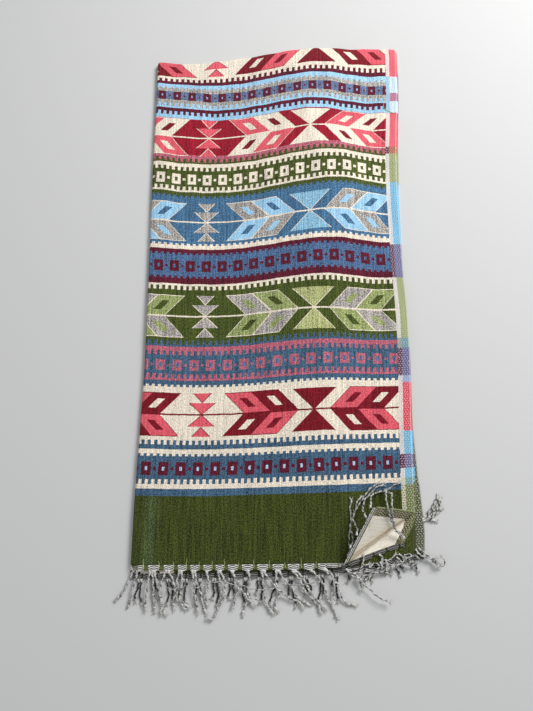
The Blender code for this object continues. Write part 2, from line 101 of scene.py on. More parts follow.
# Where the tables' values start and fade out, and the swellings and unevenness, in metres
drape = {
    "plainTo": 0.060, "blur": 0.020,
    "ridgeFrom": 0.118, "ridgeFall": 0.105, "ridgeLost": 0.8,
    "bowFrom": 0.095, "bowPower": 1.2, "liftTo": 0.085,
    "endReach": 0.15, "farReach": 0.07,
    "swell": 0.0024, "swellAt": 0.016, "swellHalf": 0.026,
    "uneven": 0.0004, "slanted": 0.0003, "ripple": 0.0005, "rippleFrom": 0.1,
    "waver": 0.25, "waverTurn": 9.0, "creaseEnd": 0.3,      # as shares of a crease
}


# t held to 0..1, then 3 t^2 - 2 t^3
def eased(t):
    t = np.clip(t, 0.0, 1.0)
    return t * t * (3.0 - 2.0 * t)


# mean of a table's straight lines at five places across 40 mm
def tableAt(table, key, column, place):
    places = np.asarray(place, float)[..., None] + np.linspace(-drape["blur"], drape["blur"], 5)
    return np.interp(places, table[key], table[column]).mean(axis=-1)


# the row table at y, its corners rounded except near the woven end
def rowAt(column, y):
    plain = np.interp(y, rowTable["y"], rowTable[column])
    return np.where(y < drape["plainTo"], plain, tableAt(rowTable, "y", column, y))


# share of the ridge: eased up to the crest, then eased down to a fifth at the selvedge
def ridgeShare(x, y):
    crest = rowAt("crest", y)
    rising = eased((x - drape["ridgeFrom"]) / (crest - drape["ridgeFrom"]))
    falling = 1.0 - drape["ridgeLost"] * eased((x - crest) / drape["ridgeFall"])
    return np.where(x < crest, rising, falling)


# x shares out the width between the layer's own edges, y adds up how far the weft runs ahead
def planOf(u, v, layer):
    left = rowAt("left", v) + (0.0 if layer == "under" else fold["round"])
    x = left + (rowAt(layer, v) - left) * u / fold["width"]
    share = np.clip((x - drape["bowFrom"]) / (fold["width"] - drape["bowFrom"]), 0.0, None)
    y = v + rowAt("bow", v) * share ** drape["bowPower"] + rowAt("hump", v) * ridgeShare(x, v)
    y = y + rowAt("lift", v) * np.clip(1.0 - x / drape["liftTo"], 0.0, None) ** 2
    if layer != "face":
        nearEnd = np.clip(1.0 - v / drape["endReach"], 0.0, None) ** 2
        y = y + tableAt(columnTable, "x", layer, u) * nearEnd
    nearFold = eased((v - farTurn + drape["farReach"]) / drape["farReach"])
    return x, y + tableAt(columnTable, "x", "far", u) * nearFold


# for each crease a bell across its line, eased in and out along it
def creaseLift(x, y):
    total = np.zeros(np.broadcast(x, y).shape)
    creases = zip(*(creaseTable[key] for key in ("from", "to", "half", "lift")))
    for start, stop, half, lift in creases:
        way = np.subtract(stop, start)
        length = np.hypot(*way)
        along = ((x - start[0]) * way[0] + (y - start[1]) * way[1]) / length ** 2
        across = ((x - start[0]) * way[1] - (y - start[1]) * way[0]) / length
        across = across + drape["waver"] * half * np.sin(drape["waverTurn"] * along)
        bell = lift * np.exp(-(across / half) ** 2)
        end = drape["creaseEnd"]
        total = total + bell * eased(along / end) * eased((1.0 - along) / end)
    return total


# flat stack, ridge, swelling behind the two folds, creases and a slow unevenness
def heightOf(x, y):
    leftSwell = np.exp(-((x - drape["swellAt"]) / drape["swellHalf"]) ** 2)
    farLine = fold["length"] + rowAt("bow", y) * np.clip(x / fold["width"], 0.0, None)
    farSwell = np.exp(-((y - farLine + drape["swellAt"]) / drape["swellHalf"]) ** 2)
    swell = 1.0 - (1.0 - leftSwell) * (1.0 - farSwell)
    uneven = (drape["uneven"] * np.sin(61.0 * x + 1.3) * np.sin(23.0 * y + 0.7)
              + drape["slanted"] * np.sin(37.0 * y - 29.0 * x))
    ripple = (drape["ripple"] * np.sin(148.0 * x + 2.0 * np.sin(19.0 * y))
              * eased(y / drape["rippleFrom"]))
    return (fold["stack"] + rowAt("ridge", y) * ridgeShare(x, y) + drape["swell"] * swell
            + creaseLift(x, y) + uneven + ripple)


# the face carried round the left fold or the far one; the far one goes on down to the floor
def foldedPoints(u, v, leftTurn, farTurnAngle):
    x, y = planOf(u, v, "face")
    top = heightOf(x, y)
    turn = np.maximum(leftTurn, farTurnAngle)
    spread = np.maximum(np.hypot(leftTurn, farTurnAngle), 1e-9)
    leftShare = leftTurn / spread
    farShare = farTurnAngle / spread
    foot = fold["foot"] * leftShare ** 2
    reach = fold["round"] * np.sin(turn)
    radius = (top - foot) / (1.0 - math.cos(fold["turn"]))
    z = np.where(turn > 0.0, top - radius * (1.0 - np.cos(turn)), top)
    points = np.stack([x - reach * leftShare, y + reach * farShare, z], axis=-1)
    arc = turn * np.sqrt((fold["round"] ** 2 + radius ** 2) / 2.0)
    weave = np.stack([u - arc * leftShare, v + arc * farShare], axis=-1)
    return points, weave


# The turned corner: a crest between two places, a tight curl, then straight cloth
corner = {
    "selvedge": np.array((0.3980, 0.0715)),
    "end": np.array((0.2990, 0.0034)),
    "radius": 0.0034,
    "turn": math.radians(140),
    "lean": 0.15,            # how far the straight cloth leans back along the crest
}
crestWay = (corner["selvedge"] - corner["end"]) / np.hypot(*(corner["selvedge"] - corner["end"]))
crestOut = np.array((crestWay[1], -crestWay[0]))
curlStart = corner["end"] - crestOut * (corner["radius"] + fold["wall"])
curlArc = (corner["radius"] + fold["wall"] / 2.0) * corner["turn"]


# past the curl's start a point goes round the curl, then straight on at its last angle
def turnedPoints(points):
    offset = points[..., :2] - curlStart
    along = offset @ crestWay
    run = offset @ crestOut
    turn = np.clip(run, 0.0, curlArc) / curlArc * corner["turn"]
    straight = np.clip(run - curlArc, 0.0, None)
    reach = corner["radius"] * np.sin(turn) + straight * math.cos(corner["turn"])
    lift = corner["radius"] * (1.0 - np.cos(turn)) + straight * math.sin(corner["turn"])
    place = (curlStart + (along - corner["lean"] * straight)[..., None] * crestWay
             + reach[..., None] * crestOut)
    moved = np.concatenate([place, (points[..., 2] + lift)[..., None]], axis=-1)
    return np.where((run > 0.0)[..., None], moved, points)


# the values at the four corners of every quad of a grid, in order round it
def quadCorners(grid):
    return np.stack([grid[:-1, :-1], grid[:-1, 1:], grid[1:, 1:], grid[1:, :-1]], axis=2)


# one grid of points into a store: quads between neighbours, uv at each quad's corners
def addGrid(store, grid, uv, wrap=False, caps=False):
    rows, columns = grid.shape[:2]
    index = np.arange(rows * columns).reshape(rows, columns) + store["count"]
    if wrap:
        index = np.concatenate([index, index[:, :1]], axis=1)
    store["points"].append(grid.reshape(-1, 3))
    store["faces"].extend(quadCorners(index).reshape(-1, 4).tolist())
    store["uv"].append(quadCorners(uv).reshape(-1, 2))
    if caps:
        store["faces"].append(index[0, :-1][::-1].tolist())
        store["faces"].append(index[-1, :-1].tolist())
        store["uv"].extend([uv[0, :-1][::-1], uv[-1, :-1]])
    store["count"] += rows * columns


# what a piece's grids are gathered in
def newStore():
    return {"points": [], "faces": [], "uv": [], "count": 0}


# the store's grids as one smooth mesh in the part's frame, riding on the one body
def finishPiece(name, store, materials, nodes=(), closed=False):
    points = np.concatenate(store["points"])
    points[:, :2] -= fold["centre"]
    mesh = bpy.data.meshes.new(name)
    mesh.from_pydata(points.tolist(), [], store["faces"])
    layer = mesh.uv_layers.new(name="weave")
    layer.data.foreach_set("uv", np.concatenate(store["uv"]).astype(np.float32).ravel())
    if closed:
        form = bmesh.new()
        form.from_mesh(mesh)
        bmesh.ops.recalc_face_normals(form, faces=form.faces)
        form.to_mesh(mesh)
        form.free()
    for material in materials:
        mesh.materials.append(material)
    mesh.shade_smooth()
    mesh.validate()
    piece = bpy.data.objects.new(name, mesh)
    bpy.context.scene.collection.objects.link(piece)
    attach(piece, "root")
    if nodes:
        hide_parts(*nodes)
    print(f"{name}: {len(mesh.vertices)} points, {len(mesh.polygons)} faces")
    return piece


# the cloth's thickness, put on behind its outer side
def addWall(piece, thickness, backSlot):
    wall = piece.modifiers.new("wall", "SOLIDIFY")
    wall.thickness = thickness
    wall.offset = -1.0
    wall.use_even_offset = True
    wall.material_offset = backSlot
    wall.material_offset_rim = 0


# Colours as seen, in the usual 0 to 255 scale, turned to linear light
yarn = {
    "green": (71, 82, 32), "blue": (72, 112, 146), "cream": (239, 226, 207), "wine": (122, 19, 33),
    "maroon": (92, 24, 44), "rose": (226, 93, 107), "dustyRose": (184, 100, 117),
    "crimson": (150, 20, 42), "sky": (160, 206, 236), "heather": (166, 160, 154),
    "leaf": (151, 162, 104), "olive": (176, 180, 124), "dustySky": (140, 188, 214),
    "charcoal": (72, 70, 70), "back": (242, 222, 188), "violet": (100, 98, 148),
    "red": (226, 62, 88), "rust": (170, 84, 52), "paleSky": (178, 208, 232),
    "white": (244, 242, 236), "moss": (110, 122, 62), "black": (30, 30, 32), "plum": (96, 40, 66),
    "ash": (150, 148, 144), "slate": (64, 66, 74), "pearl": (228, 222, 216),
    "paleLime": (206, 208, 158), "teal": (104, 156, 164), "paleIce": (204, 226, 238),
    # on the next line, the third colour is light painted on the turned corner's flap
    "berry": (178, 96, 132), "periwinkle": (150, 166, 208), "paintedTipLight": (247, 241, 227),
    # on the next line, the second colour is a sheen painted beside the left fold's rounding
    "paleMoss": (216, 212, 184), "paintedSheen": (88, 112, 78), "deepGreen": (62, 70, 24),
    "deepBlue": (68, 97, 122), "duskBlue": (78, 106, 143), "greyBlue": (98, 116, 150),
    "azure": (108, 184, 222), "darkMoss": (72, 78, 44), "sand": (196, 184, 156),
    "ivory": (236, 226, 208), "tan": (206, 186, 154),
}


# sRGB to linear: c / 12.92 below 0.04045, else ((c + 0.055) / 1.055) ^ 2.4
def linear(name):
    shares = [c / 255.0 for c in yarn[name]]
    light = [c / 12.92 if c < 0.04045 else ((c + 0.055) / 1.055) ** 2.4 for c in shares]
    return (*light, 1.0)


# an operator of a Wire as one Math node, where turned with the wire as its second value
def asMaths(operation, turned=False):
    def operator(wire, *others):
        items = (*others, wire) if turned else (wire, *others)
        return wire.maths(operation, *items)

    return operator


class Wire:
    # one number in a material: Python's operators on it add Math nodes
    def __init__(self, paint, socket):
        self.paint = paint
        self.socket = socket

    def maths(self, operation, *items):
        node = self.paint.node("ShaderNodeMath", {"operation": operation}, dict(enumerate(items)))
        return Wire(self.paint, node.outputs[0])

    __add__ = asMaths("ADD")
    __radd__ = asMaths("ADD", turned=True)
    __sub__ = asMaths("SUBTRACT")
    __rsub__ = asMaths("SUBTRACT", turned=True)
    __mul__ = asMaths("MULTIPLY")
    __rmul__ = asMaths("MULTIPLY", turned=True)
    __truediv__ = asMaths("DIVIDE")
    __mod__ = asMaths("FLOORED_MODULO")
    __lt__ = asMaths("LESS_THAN")
    __gt__ = asMaths("GREATER_THAN")
    __abs__ = asMaths("ABSOLUTE")
    floor = asMaths("FLOOR")
    sine = asMaths("SINE")
    least = asMaths("MINIMUM")
    most = asMaths("MAXIMUM")


class Paint:
    # a material and the one way to add nodes to it
    def __init__(self, name, roughness, sheen):
        self.material = bpy.data.materials.new(name)
        self.material.use_nodes = True
        self.nodes = self.material.node_tree.nodes
        self.links = self.material.node_tree.links
        self.shader = self.nodes["Principled BSDF"]
        self.shader.inputs["Roughness"].default_value = roughness
        self.shader.inputs["Sheen Weight"].default_value = sheen
        self.shader.inputs["Sheen Roughness"].default_value = 0.6
        self.shader.inputs["Specular IOR Level"].default_value = 0.15

    # a node of a type, with its settings, then the values or links of its sockets
    def node(self, kind, settings=None, inputs=None):
        made = self.nodes.new(kind)
        for key, value in (settings or {}).items():
            setattr(made, key, value)
        for key, value in (inputs or {}).items():
            self.feed(made.inputs[key], value)
        return made

    # a socket takes a link, a value, or a yarn's colour by its name
    def feed(self, socket, value):
        if isinstance(value, str):
            value = linear(value)
        if isinstance(value, Wire):
            value = value.socket
        if isinstance(value, bpy.types.NodeSocket):
            self.links.new(value, socket)
        else:
            socket.default_value = value

    # u and v of the cloth
    def weave(self):
        place = self.node("ShaderNodeUVMap", {"uv_map": "weave"})
        parts = self.node("ShaderNodeSeparateXYZ", {}, {0: place.outputs[0]})
        return Wire(self, parts.outputs[0]), Wire(self, parts.outputs[1])

    # 0 to 1, with scaleU and scaleV grains a metre
    def noise(self, u, v, scaleU, scaleV, detail=2.0, shift=0.0):
        place = self.node("ShaderNodeCombineXYZ", {}, {0: u * scaleU, 1: v * scaleV, 2: shift})
        inputs = {"Vector": place.outputs[0], "Scale": 1.0, "Detail": detail, "Roughness": 0.6}
        made = self.node("ShaderNodeTexNoise", {"noise_dimensions": "3D"}, inputs)
        return Wire(self, made.outputs["Fac"])

    # a ramp of plain steps, each colour from its place on: all the places are set first,
    # because a ramp sorts its stops
    def steps(self, factor, stops, span):
        ramp = self.node("ShaderNodeValToRGB", {}, {0: factor / span})
        ramp.color_ramp.interpolation = "CONSTANT"
        elements = ramp.color_ramp.elements
        for _ in range(len(stops) - 2):
            elements.new(0.5)
        for element, (place, _) in zip(elements, stops):
            element.position = place / span
        for element, (_, colour) in zip(elements, stops):
            element.color = colour
        return ramp.outputs[0]

    # plain steps of a number
    def levels(self, factor, stops, span):
        greys = [(place, (value, value, value, 1.0)) for place, value in stops]
        parts = self.node("ShaderNodeSeparateColor", {}, {0: self.steps(factor, greys, span)})
        return Wire(self, parts.outputs[0])

    def mix(self, share, first, second, blend="MIX"):
        made = self.node("ShaderNodeMix", {"data_type": "RGBA", "blend_type": blend},
                         {0: share, 6: first, 7: second})
        return made.outputs[2]

    def scaled(self, colour, amount):
        grey = self.node("ShaderNodeCombineColor", {}, {0: amount, 1: amount, 2: amount})
        return self.mix(1.0, colour, grey.outputs[0], "MULTIPLY")

    # the colour, and a bump of the height, into the shader
    def finish(self, colour, height, strength, distance):
        self.feed(self.shader.inputs["Base Color"], colour)
        bump = self.node("ShaderNodeBump", {},
                         {"Strength": strength, "Distance": distance, "Height": height})
        self.feed(self.shader.inputs["Normal"], bump.outputs["Normal"])
        return self.material


# Where each weft colour starts along the cloth, in mm, and how far its teeth reach: up
# into it from the colour before (+), or down out of it (-)
bandTable = (
    (0.0, "deepGreen", 0), (91.4, "deepBlue", 0), (101.0, "cream", 0), (107.0, "deepBlue", 5.0),
    (150.4, "cream", -4.4), (156.5, "deepBlue", 0), (163.3, "cream", 5.2), (246.7, "deepBlue", 3.7),
    (256.5, "dustyRose", 0), (262.0, "deepBlue", 4.7), (303.2, "dustyRose", -4.9),
    (309.4, "deepBlue", 0), (314.7, "green", 5.3), (402.0, "cream", 5.0), (413.3, "maroon", 0),
    (420.6, "duskBlue", 4.8), (465.0, "maroon", -5.0), (470.6, "cream", 0), (476.4, "blue", 4.6),
    (567.5, "green", -4.2), (571.7, "cream", 0), (577.2, "green", 4.5), (617.8, "cream", -4.8),
    (623.6, "green", 0), (629.6, "dustyRose", 4.2), (641.4, "crimson", 0), (711.4, "sky", 0),
    (717.0, "maroon", 5.5), (730.8, "sky", 0), (734.0, "heather", 5.0), (747.8, "greyBlue", 0),
    (764.2, "heather", 0), (769.0, "sky", 4.0), (780.8, "maroon", 0), (786.4, "cream", 5.6),
)
# The rows of small squares: from and to along the cloth, the first centre and the pitch
# across, half widths of the square, its eye and the dot between, and their colours
squareTable = (
    (120.5, 139.3, 9.3, 25.3, 7.3, 1.7, 2.3, "maroon", "paleSky"),
    (274.7, 291.0, 20.1, 25.4, 6.9, 2.3, 1.8, "dustyRose", "blue"),
    (434.4, 452.5, 11.4, 25.3, 7.4, 1.8, 2.1, "maroon", "blue"),
    (588.0, 606.7, 10.0, 25.5, 7.1, 2.2, 2.2, "cream", "green"),
    (747.8, 764.2, 6.0, 25.1, 6.4, 1.3, 1.6, "maroon", "periwinkle"),
)
# The five feather bands: centre, half height and shift across in mm, then the colours of
# the first leaf and the triangles, of the second leaf and the first one's eye, of the
# second one's eye, of the hourglass, and of the edges and the middle line
featherTable = {
    "from":      (0.0, 300.0, 450.0, 600.0, 760.0),
    "centre":    (208.2, 360.5, 520.5, 676.4, 833.0),
    "half":      (32.2, 34.0, 33.8, 35.0, 33.8),
    "shift":     (0.0, 0.0, 0.0, 0.0, 9.0),
    "first":     ("rose", "heather", "heather", "rose", "rose"),
    "second":    ("wine", "leaf", "sky", "cream", "wine"),
    "secondEye": ("cream", "green", "blue", "wine", "cream"),
    "hourglass": ("wine", "olive", "dustySky", "cream", "wine"),
    "edge":      ("wine", "cream", "cream", "cream", "wine"),
}
# The selvedges: where the outer colour changes, in mm, with the inner colour beside it
selvedgeTable = (
    (0.0, "moss", "paleMoss"), (98.0, "teal", "paleMoss"), (108.0, "azure", "pearl"),
    (120.0, "violet", "maroon"), (139.0, "azure", "pearl"), (171.0, "red", "pearl"),
    (246.0, "periwinkle", "pearl"), (255.0, "violet", "plum"), (298.0, "teal", "heather"),
    (313.0, "leaf", "pearl"), (413.0, "violet", "plum"), (466.0, "azure", "pearl"),
    (575.0, "leaf", "pearl"), (627.0, "rust", "plum"), (643.0, "red", "pearl"),
    (712.0, "paleIce", "dustySky"), (733.0, "berry", "dustySky"), (750.0, "paleIce", "dustySky"),
    (779.0, "red", "pearl"),
)
lowerSelvedgeTable = (
    (0.0, "darkMoss", "darkMoss"), (150.0, "plum", "moss"), (178.0, "darkMoss", "moss"),
    (400.0, "violet", "plum"), (470.0, "dustySky", "plum"), (575.0, "moss", "moss"),
    (640.0, "dustyRose", "plum"), (700.0, "violet", "plum"), (790.0, "heather", "plum"),
)


# The twined edging: a rounded strip past the cloth's end, ridged by its rows of yarn
edging = {
    "width": 0.0075, "narrow": 0.0056,      # the narrow one where it is turned or hidden
    "thick": 0.0017, "step": 0.0008, "sides": 22, "rows": 3.0,
    "square": 0.6,                          # a superellipse's power: 1 would be round
    "bulge": 0.0007, "rowRise": 0.00028, "lay": 0.0023, "layRise": 0.00016,
    # where the strips start and end along their layers' ends, from the left
    "frontTo": 0.2715, "cornerFrom": 0.2721, "cornerLength": 0.1235, "innerFrom": 0.304,
    "underFrom": 0.001, "to": 0.399,
}
# Where the tassels stand along the top layer's end, and so where its twined rows arch
tasselPlaces = (
    0.007, 0.029, 0.050, 0.069, 0.086, 0.105, 0.121, 0.139, 0.160, 0.182, 0.203, 0.225, 0.248,
    0.266, 0.285,
)


# The feather motif in mm: p counts across from the middle of the triangles to that of the
# hourglass, d out from the band's centre line, reach at its edge
motif = {
    "first": 86.5, "halfPeriod": 168.1, "reach": 32.0, "line": 1.2,
    "from": 63.0, "leaf": 41.0, "lean": 31.0,              # two leaves, and how far they lean
    "eyeHalf": 5.6, "eyeReach": 7.0, "edge": 19.4, "rim": 30.9,
    "step": 17.4, "lowerHalf": 20.6, "upperHalf": 14.0,    # the triangles' two steps
    "glassHalf": 33.5, "glassTop": 30.5,
}
# The plain pattern in mm: the cloth that a ramp covers, one tooth and its gap, the selvedge
# with its outer band and edge, and the green end
plain = {"span": 840.0, "teeth": 9.3, "selvedge": 382.0, "outer": 388.3, "edge": 398.6, "end": 98.0}
# The selvedge's twill: stripes, rows and turns of the zigzag a metre
twill = {"stripes": 250.0, "rows": 300.0, "turns": 62.0}


# each colour of a list from its place on, along the cloth
def colourRows(paint, y, places, names):
    stops = [(place, linear(name)) for place, name in zip(places, names)]
    return paint.steps(y, stops, plain["span"])


# the bands, drawn out by their teeth where toothed is 1: two ramps, because one holds 32 stops
def bandColours(paint, y, toothed):
    half = 18
    stops = [(place + tooth * toothed, linear(name)) for place, name, tooth in bandTable]
    low = paint.steps(y, stops[:half], plain["span"])
    high = paint.steps(y, [(0.0, stops[half - 1][1])] + stops[half:], plain["span"])
    return paint.mix(y > stops[half][0] - 1.0, low, high)


# rows of squares, by the way to the nearest middle, with an eye in each and a dot between
def addSquares(paint, x, y, colour):
    for low, high, first, pitch, wide, eye, dot, name, eyeName in squareTable:
        across = abs((x - first + pitch / 2.0) % pitch - pitch / 2.0)
        between = abs((x - first) % pitch - pitch / 2.0)
        up = abs(y - (low + high) / 2.0)
        square = (across < wide) * (up < (high - low) / 2.0)
        dots = (between < dot) * (up < dot)
        colour = paint.mix(square.most(dots), colour, name)
        colour = paint.mix((across < eye) * (up < eye * 1.6), colour, eyeName)
    return colour


# the motif, the same in each wide band: a leaf is a strip of q, which is p leaning with d,
# and the half widths of the triangles and the hourglass grow with d
def addFeathers(paint, x, y, colour):
    def numberOf(key):
        stops = list(zip(featherTable["from"], featherTable[key]))
        return paint.levels(y, stops, plain["span"])

    def colourOf(key):
        return colourRows(paint, y, featherTable["from"], featherTable[key])

    reach, leaf, step = motif["reach"], motif["leaf"], motif["step"]
    fromTriangles = x - motif["first"] - numberOf("shift")
    p = fromTriangles.maths("PINGPONG", fromTriangles, motif["halfPeriod"])
    odd = (fromTriangles / motif["halfPeriod"]).floor() % 2.0
    offCentre = y - numberOf("centre")
    d = abs(offCentre) / numberOf("half") * reach
    inBand = d < reach
    q = p + d * (motif["lean"] / reach) - motif["from"]
    leaves = (q > 0.0) * (q < 2.0 * leaf) * inBand
    isFirst = 1.0 - abs(abs((q > leaf) - odd) - (1.0 - (offCentre > 0.0)))
    fromMiddle = abs(q % leaf - leaf / 2.0)
    eye = (fromMiddle < motif["eyeHalf"]) * (abs(d - reach / 2.0) < motif["eyeReach"])
    leafEdge = (fromMiddle > motif["edge"]).most(d > motif["rim"])
    lower = (d < step) * d * (motif["lowerHalf"] / step)
    upper = (d > step) * (d - step) * (motif["upperHalf"] / (reach - step))
    triangleHalf = lower + upper
    triangle = (p < triangleHalf) * inBand
    triangleEdge = (p > triangleHalf - 1.3) * (p < triangleHalf + 0.3) * inBand
    glassGap = motif["halfPeriod"] - p
    glassHalf = d * (motif["glassHalf"] / reach)
    inGlass = d < motif["glassTop"]
    glass = (glassGap < glassHalf) * inGlass
    glassEdge = (abs(glassGap - glassHalf) < 0.7) * inGlass

    first, second, edge = colourOf("first"), colourOf("second"), colourOf("edge")
    colour = paint.mix(triangle, colour, first)
    colour = paint.mix(triangleEdge, colour, edge)
    colour = paint.mix(glass, colour, colourOf("hourglass"))
    colour = paint.mix(glassEdge, colour, edge)
    firstLeaf = paint.mix(eye, first, second)
    secondLeaf = paint.mix(eye, second, colourOf("secondEye"))
    colour = paint.mix(leaves, colour, paint.mix(isFirst, secondLeaf, firstLeaf))
    colour = paint.mix(leaves * leafEdge, colour, edge)
    return paint.mix(abs(offCentre) < motif["line"], colour, edge)


# stripes that swing to and fro with v, cut into short rows: 1 on a dot
def twillDots(u, v, stripeShift, rowShift):
    zigzag = abs((v * twill["turns"]) % 1.0 - 0.5) * 2.0
    stripe = ((u * twill["stripes"] + zigzag * 1.5 + stripeShift) % 1.0) < 0.5
    return stripe * (((v * twill["rows"] + rowShift) % 1.0) < 0.62)


# places in mm, made ragged by noise, pick the pattern's colour; noise and ribs are the yarn
def clothFacePaint(name, selvedges, worn=0.0):
    paint = Paint(name, 0.92, 0.06)
    u, along = paint.weave()
    v = along.maths("PINGPONG", along, fold["length"])      # past the far fold it mirrors this side
    ragged = paint.noise(u, v, 900.0, 900.0, 1.0)
    slow = paint.noise(u, v, 60.0, 60.0, 2.0, 4.0)
    x = u * 1000.0 + (ragged - 0.5) * 1.6 + (slow - 0.5) * 2.0
    y = v * 1000.0 + (ragged - 0.5) * 1.2 + (slow - 0.5) * 1.6
    tooth = (x / plain["teeth"]) % 1.0 < 0.5
    colour = paint.mix(tooth, bandColours(paint, y, 0.0), bandColours(paint, y, 1.0))
    colour = addSquares(paint, x, y, colour)
    colour = addFeathers(paint, x, y, colour)

    # a painted sheen beside the left fold, for the light on its rounding, and where worn a pale end
    paintedSheen = (1.0 - abs(x - 21.0) / 15.0).most(0.0) * (y < 91.4) * (0.12 + slow * 0.55)
    colour = paint.mix(paintedSheen, colour, "paintedSheen")
    colour = paint.mix((y < 9.0) * (x < 66.0) * (slow > 0.47) * worn, colour, "ivory")

    # yarn: heathered specks, stronger where the yarn is grey, and streaks along the warp
    fine = paint.noise(u, v, 760.0, 560.0, 2.0, 9.0)
    coarse = paint.noise(u, v, 430.0, 330.0, 2.0, 12.0)
    streak = paint.noise(u, v, 330.0, 16.0, 3.0, 2.0)
    cloud = paint.noise(u, v, 16.0, 22.0, 2.0, 6.0)
    hue = paint.node("ShaderNodeSeparateColor", {"mode": "HSV"}, {0: colour})
    value = Wire(paint, hue.outputs[2])
    grey = (Wire(paint, hue.outputs[1]) < 0.28) * (value < 0.6)
    speck = (fine - 0.5) * 5.0 + (coarse - 0.5) * 1.7 + (streak - 0.5) * 2.3
    shade = 1.0 + speck * (1.31 - value + grey * 0.25) + (cloud - 0.5) * 0.22
    colour = paint.scaled(colour, shade.most(0.3).least(2.2))

    # twilled selvedge: a pale dotted inner band, a bright outer one, a paler edge
    places, outerNames, innerNames = zip(*selvedges)
    outerColour = colourRows(paint, y, places, outerNames)
    innerColour = colourRows(paint, y, places, innerNames)
    dots = twillDots(u, v, (fine - 0.5) * 0.4, (coarse - 0.5) * 0.6)
    pale = paint.mix(0.55, outerColour, "pearl")
    green = y < plain["end"]
    innerDots = paint.mix(green, pale, "darkMoss")
    innerTwill = paint.mix(dots * 0.8, innerColour, innerDots)
    outerTwill = paint.mix(dots * 0.85, outerColour, pale)
    selvedge = paint.mix(x > plain["outer"], innerTwill, outerTwill)
    selvedge = paint.scaled(selvedge, 0.97 + speck * 0.25)
    edgeColour = paint.mix(0.4 - green * 0.22, outerColour, "white")
    selvedge = paint.mix(x > plain["edge"], selvedge, edgeColour)
    colour = paint.mix(u > plain["selvedge"] / 1000.0, colour, selvedge)

    # ribs over the warp, and the finer rows of the weft
    warp = (u * (math.tau / 0.0027) + (coarse - 0.5) * 5.0).sine() * 0.5
    weft = (v * (math.tau / 0.0012) + (fine - 0.5) * 3.0).sine() * 0.3
    return paint.finish(colour, weft + warp + fine * 1.4 + streak * 1.2, 0.55, 0.0006)


# plain cream, painted cooler and paler towards the turned tip for the light there, stained, with a
# painted shadow at the crest, and its selvedge
def clothBackPaint():
    paint = Paint("wovenBack", 0.94, 0.08)
    u, v = paint.weave()
    fine = paint.noise(u, v, 800.0, 620.0, 2.0, 3.0)
    streak = paint.noise(u, v, 420.0, 22.0, 2.0, 1.0)
    stain = paint.noise(u, v, 55.0, 55.0, 3.0, 6.0)
    # out is the way from the turned corner's crest towards its tip, in metres
    out = u * 0.567 - v * 0.824 - 0.1667
    warm = paint.mix((streak - 0.32) * 1.3, "back", "ivory")
    # painted light: past the curl the flap is painted a cooler, paler cream than the curl, for the
    # light on it
    colour = paint.mix(((out - 0.011) * 70.0).most(0.0).least(0.85), warm, "paintedTipLight")
    colour = paint.mix(((stain - 0.52) * 3.2).most(0.0).least(0.55), colour, "tan")
    shadow = (1.0 - abs(out - 0.0112) * 330.0).most(0.0) * (out > 0.0)
    colour = paint.scaled(colour, 1.0 + (fine - 0.5) * 0.9 + (streak - 0.5) * 0.5 - shadow * 0.4)
    dots = twillDots(u, v, (fine - 0.5) * 0.5, fine - 0.5)
    y = v * 1000.0
    near = y < plain["end"]
    places, outerNames, _ = zip(*selvedgeTable)
    outer = colourRows(paint, y, places, outerNames)
    ground = paint.mix(near, outer, "darkMoss")
    band = paint.mix(dots, ground, paint.mix(near, "pearl", "sand"))
    band = paint.mix(u > 0.3985, paint.scaled(band, 0.95 + (fine - 0.5) * 0.8), outer)
    colour = paint.mix(u > 0.3855, colour, band)
    warp = (u * (math.tau / 0.0025) + (stain - 0.5) * 6.0).sine() * 0.45
    weft = (v * (math.tau / 0.0012)).sine() * 0.3
    return paint.finish(colour, weft + warp * 0.6 + fine * 1.3, 0.45, 0.0005)


# u counts the tassels, v is the way out from the cloth: the rows arch over each tassel
def twinedPaint(name, light, dark, ground, leaf, arch):
    paint = Paint(name, 0.9, 0.06)
    u, v = paint.weave()
    fleck = paint.noise(u, v, 22.0, 1100.0, 1.5)
    group = (u + 0.5) % 1.0 - 0.5
    row = v * 1000.0 - group * group * arch + (fleck - 0.5) * 0.5
    places = (0.0, 0.9, 2.2, 3.4, 4.7, 5.8, 6.7)
    stops = [(place, linear((light, dark)[number % 2])) for number, place in enumerate(places)]
    lines = paint.steps(row.most(0.0), stops, 9.0)
    groundColour = paint.mix(fleck > 0.5, ground, leaf)
    colour = paint.mix(abs(group + (fleck - 0.5) * 0.08) > 0.47 - arch * 0.007, lines, groundColour)
    lie = (u * (math.tau * 9.0) + v * 1200.0).sine()
    colour = paint.mix((lie > 0.7) * 0.2, colour, "slate")
    colour = paint.scaled(colour, 1.0 + (fleck - 0.5) * 0.6)
    return paint.finish(colour, lie + fleck, 0.6, 0.0006)


# u is the way from a cord's nearer end, v the turn of its two plies
def cordPaint(name, dark, light, share, spiral=0.2):
    paint = Paint(name, 0.9, 0.08)
    u, v = paint.weave()
    fleck = paint.noise(u, v, 300.0, 4.0, 2.0)
    patch = paint.noise(u, v, 110.0, 0.5, 1.0, 5.0)
    ply = (v * math.tau).sine()
    lightness = ply * spiral + (fleck - 0.5) * 2.6 + (patch - 0.5) * 1.4 + share
    colour = paint.mix(lightness.most(0.0).least(1.0), dark, light)
    endShare = ((0.0055 - u) * 300.0).most(0.0).least(0.85)
    colour = paint.mix(endShare, colour, "white")
    colour = paint.scaled(colour, 0.86 + (fleck - 0.5) * 0.7)
    hair = (v * (math.tau * 7.0) + u * 2600.0).sine()
    return paint.finish(colour, hair + fleck * 2.0, 0.6, 0.0004)


# a pale yarn with a fleck along it
def warpEndPaint():
    paint = Paint("warpEnds", 0.9, 0.06)
    u, v = paint.weave()
    fleck = paint.noise(u, v, 800.0, 3.0, 2.0)
    colour = paint.mix(fleck, "leaf", "paleLime")
    return paint.finish(colour, fleck, 0.4, 0.0003)


